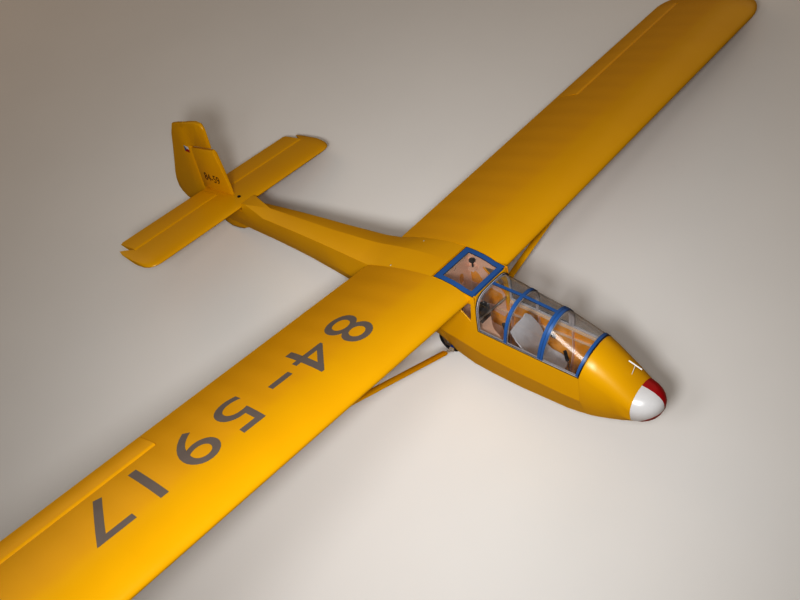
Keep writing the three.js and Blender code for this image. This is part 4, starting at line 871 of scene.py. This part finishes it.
def turned(name, profile, centre, direction, material, body="airframe", steps=24):
    """A round piece in mm; the profile gives radius and height, and starts and ends on the axis."""
    shape = bmesh.new()
    points = [shape.verts.new((radius, 0, height)) for radius, height in profile]
    lines = [shape.edges.new(pair) for pair in zip(points, points[1:])]
    bmesh.ops.spin(
        shape,
        geom=points + lines,
        cent=(0, 0, 0),
        axis=(0, 0, 1),
        angle=math.tau,
        steps=steps,
        use_merge=True,
    )
    bmesh.ops.remove_doubles(shape, verts=shape.verts, dist=0.01)
    turn = Vector((0, 0, 1)).rotation_difference(Vector(direction)).to_matrix().to_4x4()
    bmesh.ops.transform(shape, matrix=CRAFT @ Matrix.Translation(centre) @ turn, verts=shape.verts)
    bmesh.ops.recalc_face_normals(shape, faces=shape.faces)
    return finished(shape, name, body, material)


def upright_across(x):
    """Turns a drawing whose axes are aft and up into a sheet that stands along the craft, at a distance x."""
    return Matrix(((0, 0, 1, x), (1, 0, 0, 0), (0, 1, 0, 0), (0, 0, 0, 1)))


def level_at(z):
    """Lays a drawing whose axes are x and y flat, at a height z."""
    return Matrix.Translation((0, 0, z))


# %% Cabin walls
WALL_INNER_X = 72.3
WALL_THICK = 1.2
WALL_FRONT = [(522, 6), (639.6, 24), (639.6, -150.5), (562, -163), (530, -169), (522, -157), (522, -149.5)]
WALL_FRONT += [(561.5, -149.5), (561.5, -141.5), (522, -141.5)]
WALL_WINDOW = [(522, -82), (530, -72), (592, -15), (588, -8), (540, -5), (522, -2)]
WALL_HOLES = [
    [(571, -77), (531, -86), (529, -103), (544, -133), (564, -138), (596, -143), (605, -137), (585, -102)],
    [(637, -24), (609, -41), (595, -60), (614, -80), (637, -80)],
]
TRAY_NOTCH = [(522, -112.5), (557.5, -112.5), (557.5, -106.5), (522, -106.5)]
CORNER_REACH = 5
holes = [rounded(hole, CORNER_REACH) for hole in WALL_HOLES]
port_edge = WALL_FRONT + WALL_WINDOW
starboard_edge = WALL_FRONT + TRAY_NOTCH + WALL_WINDOW
plywood = finishes["birch_plywood"]
port_wall = upright_across(WALL_INNER_X)
starboard_wall = upright_across(-WALL_INNER_X - WALL_THICK)
board("cabin_wall_port", [port_edge, *holes], port_wall, WALL_THICK, plywood)
board("cabin_wall_starboard", [starboard_edge, holes[1]], starboard_wall, WALL_THICK, plywood)
print("wall edge corners:", len(port_edge), "and", len(starboard_edge))

# %% [markdown]
# The bulkhead behind the rear seat is faced with plywood too. It has an oval hole with the film's inner side
# behind it, and a short slot. Each opening gets a thin backing just behind the facing, a little larger than
# the opening, so that no edge of the backing shows. Behind the slot the backing is a black sheet: painted
# shade for the dark inside of the slot.

# %% Facing of the rear bulkhead
FACING_Y = 640
FACING_THICK = 1
FACING_EDGE = [(-72.8, 19), (72.8, 19), (72.8, -150), (-72.8, -150)]
OVAL_MIDDLE = (34.5, -46)
OVAL_HALF = (10, 17.5)
OVAL_STEPS = 28
BACKING_GROWTH = 1.25
BACKING_THICK = 0.2
BACKING_SETBACK = 0.4
SLOT_ENDS = [(19.6, 4.2), (18.4, 7), (7.8, 1.5), (9, -1.3)]
across_craft = Matrix(((1, 0, 0, 0), (0, 0, -1, FACING_Y + FACING_THICK), (0, 1, 0, 0), (0, 0, 0, 1)))


def ellipse(growth):
    """The oval hole's outline, grown about its own middle."""
    angles = [math.tau * step / OVAL_STEPS for step in range(OVAL_STEPS)]
    across = [OVAL_MIDDLE[0] + growth * OVAL_HALF[0] * math.cos(angle) for angle in angles]
    heights = [OVAL_MIDDLE[1] + growth * OVAL_HALF[1] * math.sin(angle) for angle in angles]
    return list(zip(across, heights))


oval = ellipse(1)
facing = [rounded(FACING_EDGE, 8), oval, rounded(SLOT_ENDS, 1.2)]
board("bulkhead_facing", facing, across_craft, FACING_THICK, plywood)
behind_facing = Matrix.Translation((0, BACKING_SETBACK, 0)) @ across_craft
backing = ellipse(BACKING_GROWTH)
board("bulkhead_hole_film", [backing], behind_facing, BACKING_THICK, inner_film)
# A black sheet behind the slot: painted shade for the dark inside of the slot.
SLOT_SHADE_SHEET = [(21, 4), (19, 8.6), (6, 2), (8, -2.8)]
black_nylon = finishes["moulded_nylon"]
board("bulkhead_slot_painted_shade", [SLOT_SHADE_SHEET], behind_facing, BACKING_THICK, black_nylon)
print("facing holes:", len(facing) - 1)

# %% [markdown]
# Two black knobs hold the wings on. The stem of each reaches down to a small plywood block at the cabin's
# side. The servo's arm, its screws and a switch are plain boards and turned parts as well.

# %% Wing bolts and the blocks that take them
KNOB_AT = (62, 617)
KNOB_PROFILE = [(0, 14), (6.5, 14), (9, 12.8), (9.5, 11), (9.5, 8.5), (8.2, 7)]
KNOB_PROFILE += [(4, 6), (2.5, 4), (2.5, -12), (0, -12)]
BLOCK_OUTLINE = [(50, 607), (72, 607), (72, 627), (50, 627)]
BLOCK_LOW = -20
BLOCK_TALL = 8
for side_name, side in sides.items():
    outline = rounded([(side * x, y) for x, y in BLOCK_OUTLINE], 2)
    knob_at = (side * KNOB_AT[0], KNOB_AT[1], 0)
    board(f"wing_bolt_block_{side_name}", [outline], level_at(BLOCK_LOW), BLOCK_TALL, plywood)
    turned(f"wing_bolt_{side_name}", KNOB_PROFILE, knob_at, (0, 0, 1), black_nylon)
print("wing bolts:", len(sides))

# %% Screws, servo arm and switch
SCREW_PROFILE = [(0, 1.1), (0.9, 1.0), (1.6, 0.6), (1.9, 0), (0, 0)]
screw_metal = finishes["galvanised_wire"]
SCREWS = {
    "servo_arm": (-9, 533, -55.2),
    "servo_rear": (-25, 540, -63.8),
    "servo_front": (0, 526, -63.8),
}
for screw_name, place in SCREWS.items():
    turned(f"screw_{screw_name}", SCREW_PROFILE, place, (0, 0, 1), screw_metal)
ARM_OUTLINE = [(-4, 530), (-9, 528.5), (-23, 541), (-21.5, 544.5), (-17, 544), (-5, 537)]
ARM_LOW = -56.8
ARM_THICK = 1.6
board("servo_arm", [rounded(ARM_OUTLINE, 3)], level_at(ARM_LOW), ARM_THICK, black_nylon)
SWITCH_BODY = [(361, -174.5), (376, -174.5), (376, -162.5), (361, -162.5)]
SWITCH_LEVER = [(366, -171), (371, -171), (371, -166), (366, -166)]
# switch part: outline, distance from the craft's middle, thickness, finish
SWITCH = {
    "switch_body": (SWITCH_BODY, 71.2, 3.5, black_nylon),
    "switch_lever": (SWITCH_LEVER, 68.1, 3.2, finishes["foam_rubber"]),
}
for part_name, (outline, inner_x, thickness, finish) in SWITCH.items():
    board(part_name, [rounded(outline, 1)], upright_across(inner_x), thickness, finish)
print("screws:", len(SCREWS))

# %% [markdown]
# The outside has a few small parts too: two screws in the roof of the rear fuselage, a nylon bolt in the
# tailplane, the rolled edge of the film under each side window, and the front edge of the skylight's trim
# tape, which runs a few millimetres onto the arch.

# %% Outside details
ABOVE_CRAFT_MM = 300


def on_skin(tree, x, y):
    """The place on a skin under a point of the plan, in the craft's axes, and the direction it faces."""
    hit, normal, *_ = tree.ray_cast(at(x, y, ABOVE_CRAFT_MM), craft_turn @ Vector((0, 0, -1)))
    return into_craft @ hit, craft_turn.inverted() @ normal


ROOF_SCREWS = {"starboard": (-72, 804), "port": (59, 788)}
ROOF_SCREW_PROFILE = [(0, 1.4), (1.5, 1.2), (2.6, 0.6), (3, 0), (0, 0)]
for screw_name, plan in ROOF_SCREWS.items():
    place, facing = on_skin(skin_tree("rear_fuselage"), *plan)
    turned(f"roof_screw_{screw_name}", ROOF_SCREW_PROFILE, place, facing, screw_metal)
TAIL_BOLT_AT = (0, 1577)
TAIL_BOLT_PROFILE = [(0, 1), (1, 1), (2, 2.6), (5, 2.4), (6, 1.6), (6, 0), (0, 0)]
place, facing = on_skin(skin_tree("tailplane"), *TAIL_BOLT_AT)
turned("tailplane_bolt", TAIL_BOLT_PROFILE, place, facing, black_nylon)
BEAD_X = 78.0
BEAD_FROM = Vector((526, -69))
BEAD_TO = Vector((588, -15))
BEAD_RADIUS = 0.9
bead_long = (BEAD_TO - BEAD_FROM).length
bead_profile = [(0, 0), (BEAD_RADIUS, 0), (BEAD_RADIUS, bead_long), (0, bead_long)]
for side_name, side in sides.items():
    along = (0, *(BEAD_TO - BEAD_FROM))
    turned(f"window_bead_{side_name}", bead_profile, (side * BEAD_X, *BEAD_FROM), along, film)
TAPE_FROM_Y = 509.6
TAPE_TO_Y = 513.4
TAPE_HALF = 74
tape = bmesh.new()
bmesh.ops.create_grid(tape, x_segments=1, y_segments=1, size=0.5)
bmesh.ops.scale(tape, vec=(2 * TAPE_HALF, TAPE_TO_Y - TAPE_FROM_Y, 1), verts=tape.verts)
cut_into_cells(tape, SHEET_CELL_MM)
tape_middle = Vector((0, (TAPE_FROM_Y + TAPE_TO_Y) / 2, 0))
lay(tape, skin_tree("cabin_arch"), tape_middle, -STARBOARD, -FORWARD, VINYL_MM / 2)
vinyl(tape, "skylight_tape_front", "airframe", finishes["skylight_tape"])
print("roof screws:", len(ROOF_SCREWS), "bead length:", round(bead_long, 1), "mm")

# %% [markdown]
# ## Floor finish
#
# The floor is plain and pale where the camera sees it. For every other ray it counts as a duller, darker and
# browner floor, so it throws less light up onto the model and shows darker in the gloss of the film and the
# glazing than it looks in the picture. No real floor does that. It is a trick of the picture, made to come
# nearer to the photograph, and the pieces of the model don't depend on it.

# %% Floor paint
FLOOR_PATCH_MM = 400
floor_finish, floor_place = new_material("painted_floor")
patches = {"Vector": floor_place, "Scale": 1 / FLOOR_PATCH_MM, "Detail": 3}
floor_noise = add(floor_finish, "TexNoise", patches).outputs[0]
floor_mix = {0: floor_noise, "A": linear("#eceae7"), "B": linear("#e6e4e1")}
floor_colour = add(floor_finish, "Mix", floor_mix, data_type="RGBA").outputs["Result"]
floor_look = {"Base Color": floor_colour, "Roughness": 0.7}
floor_pale = add(floor_finish, "BsdfPrincipled", floor_look)
floor_dull = add(floor_finish, "BsdfDiffuse", {"Color": linear("#94826f")})
seen = add(floor_finish, "LightPath").outputs["Is Camera Ray"]
floor_shader = add(floor_finish, "MixShader", {0: seen, 1: floor_dull.outputs[0], 2: floor_pale.outputs[0]})
finish_material(floor_finish, floor_shader)
floor.data.materials.append(floor_finish)
print("floor finish:", floor_finish.name)
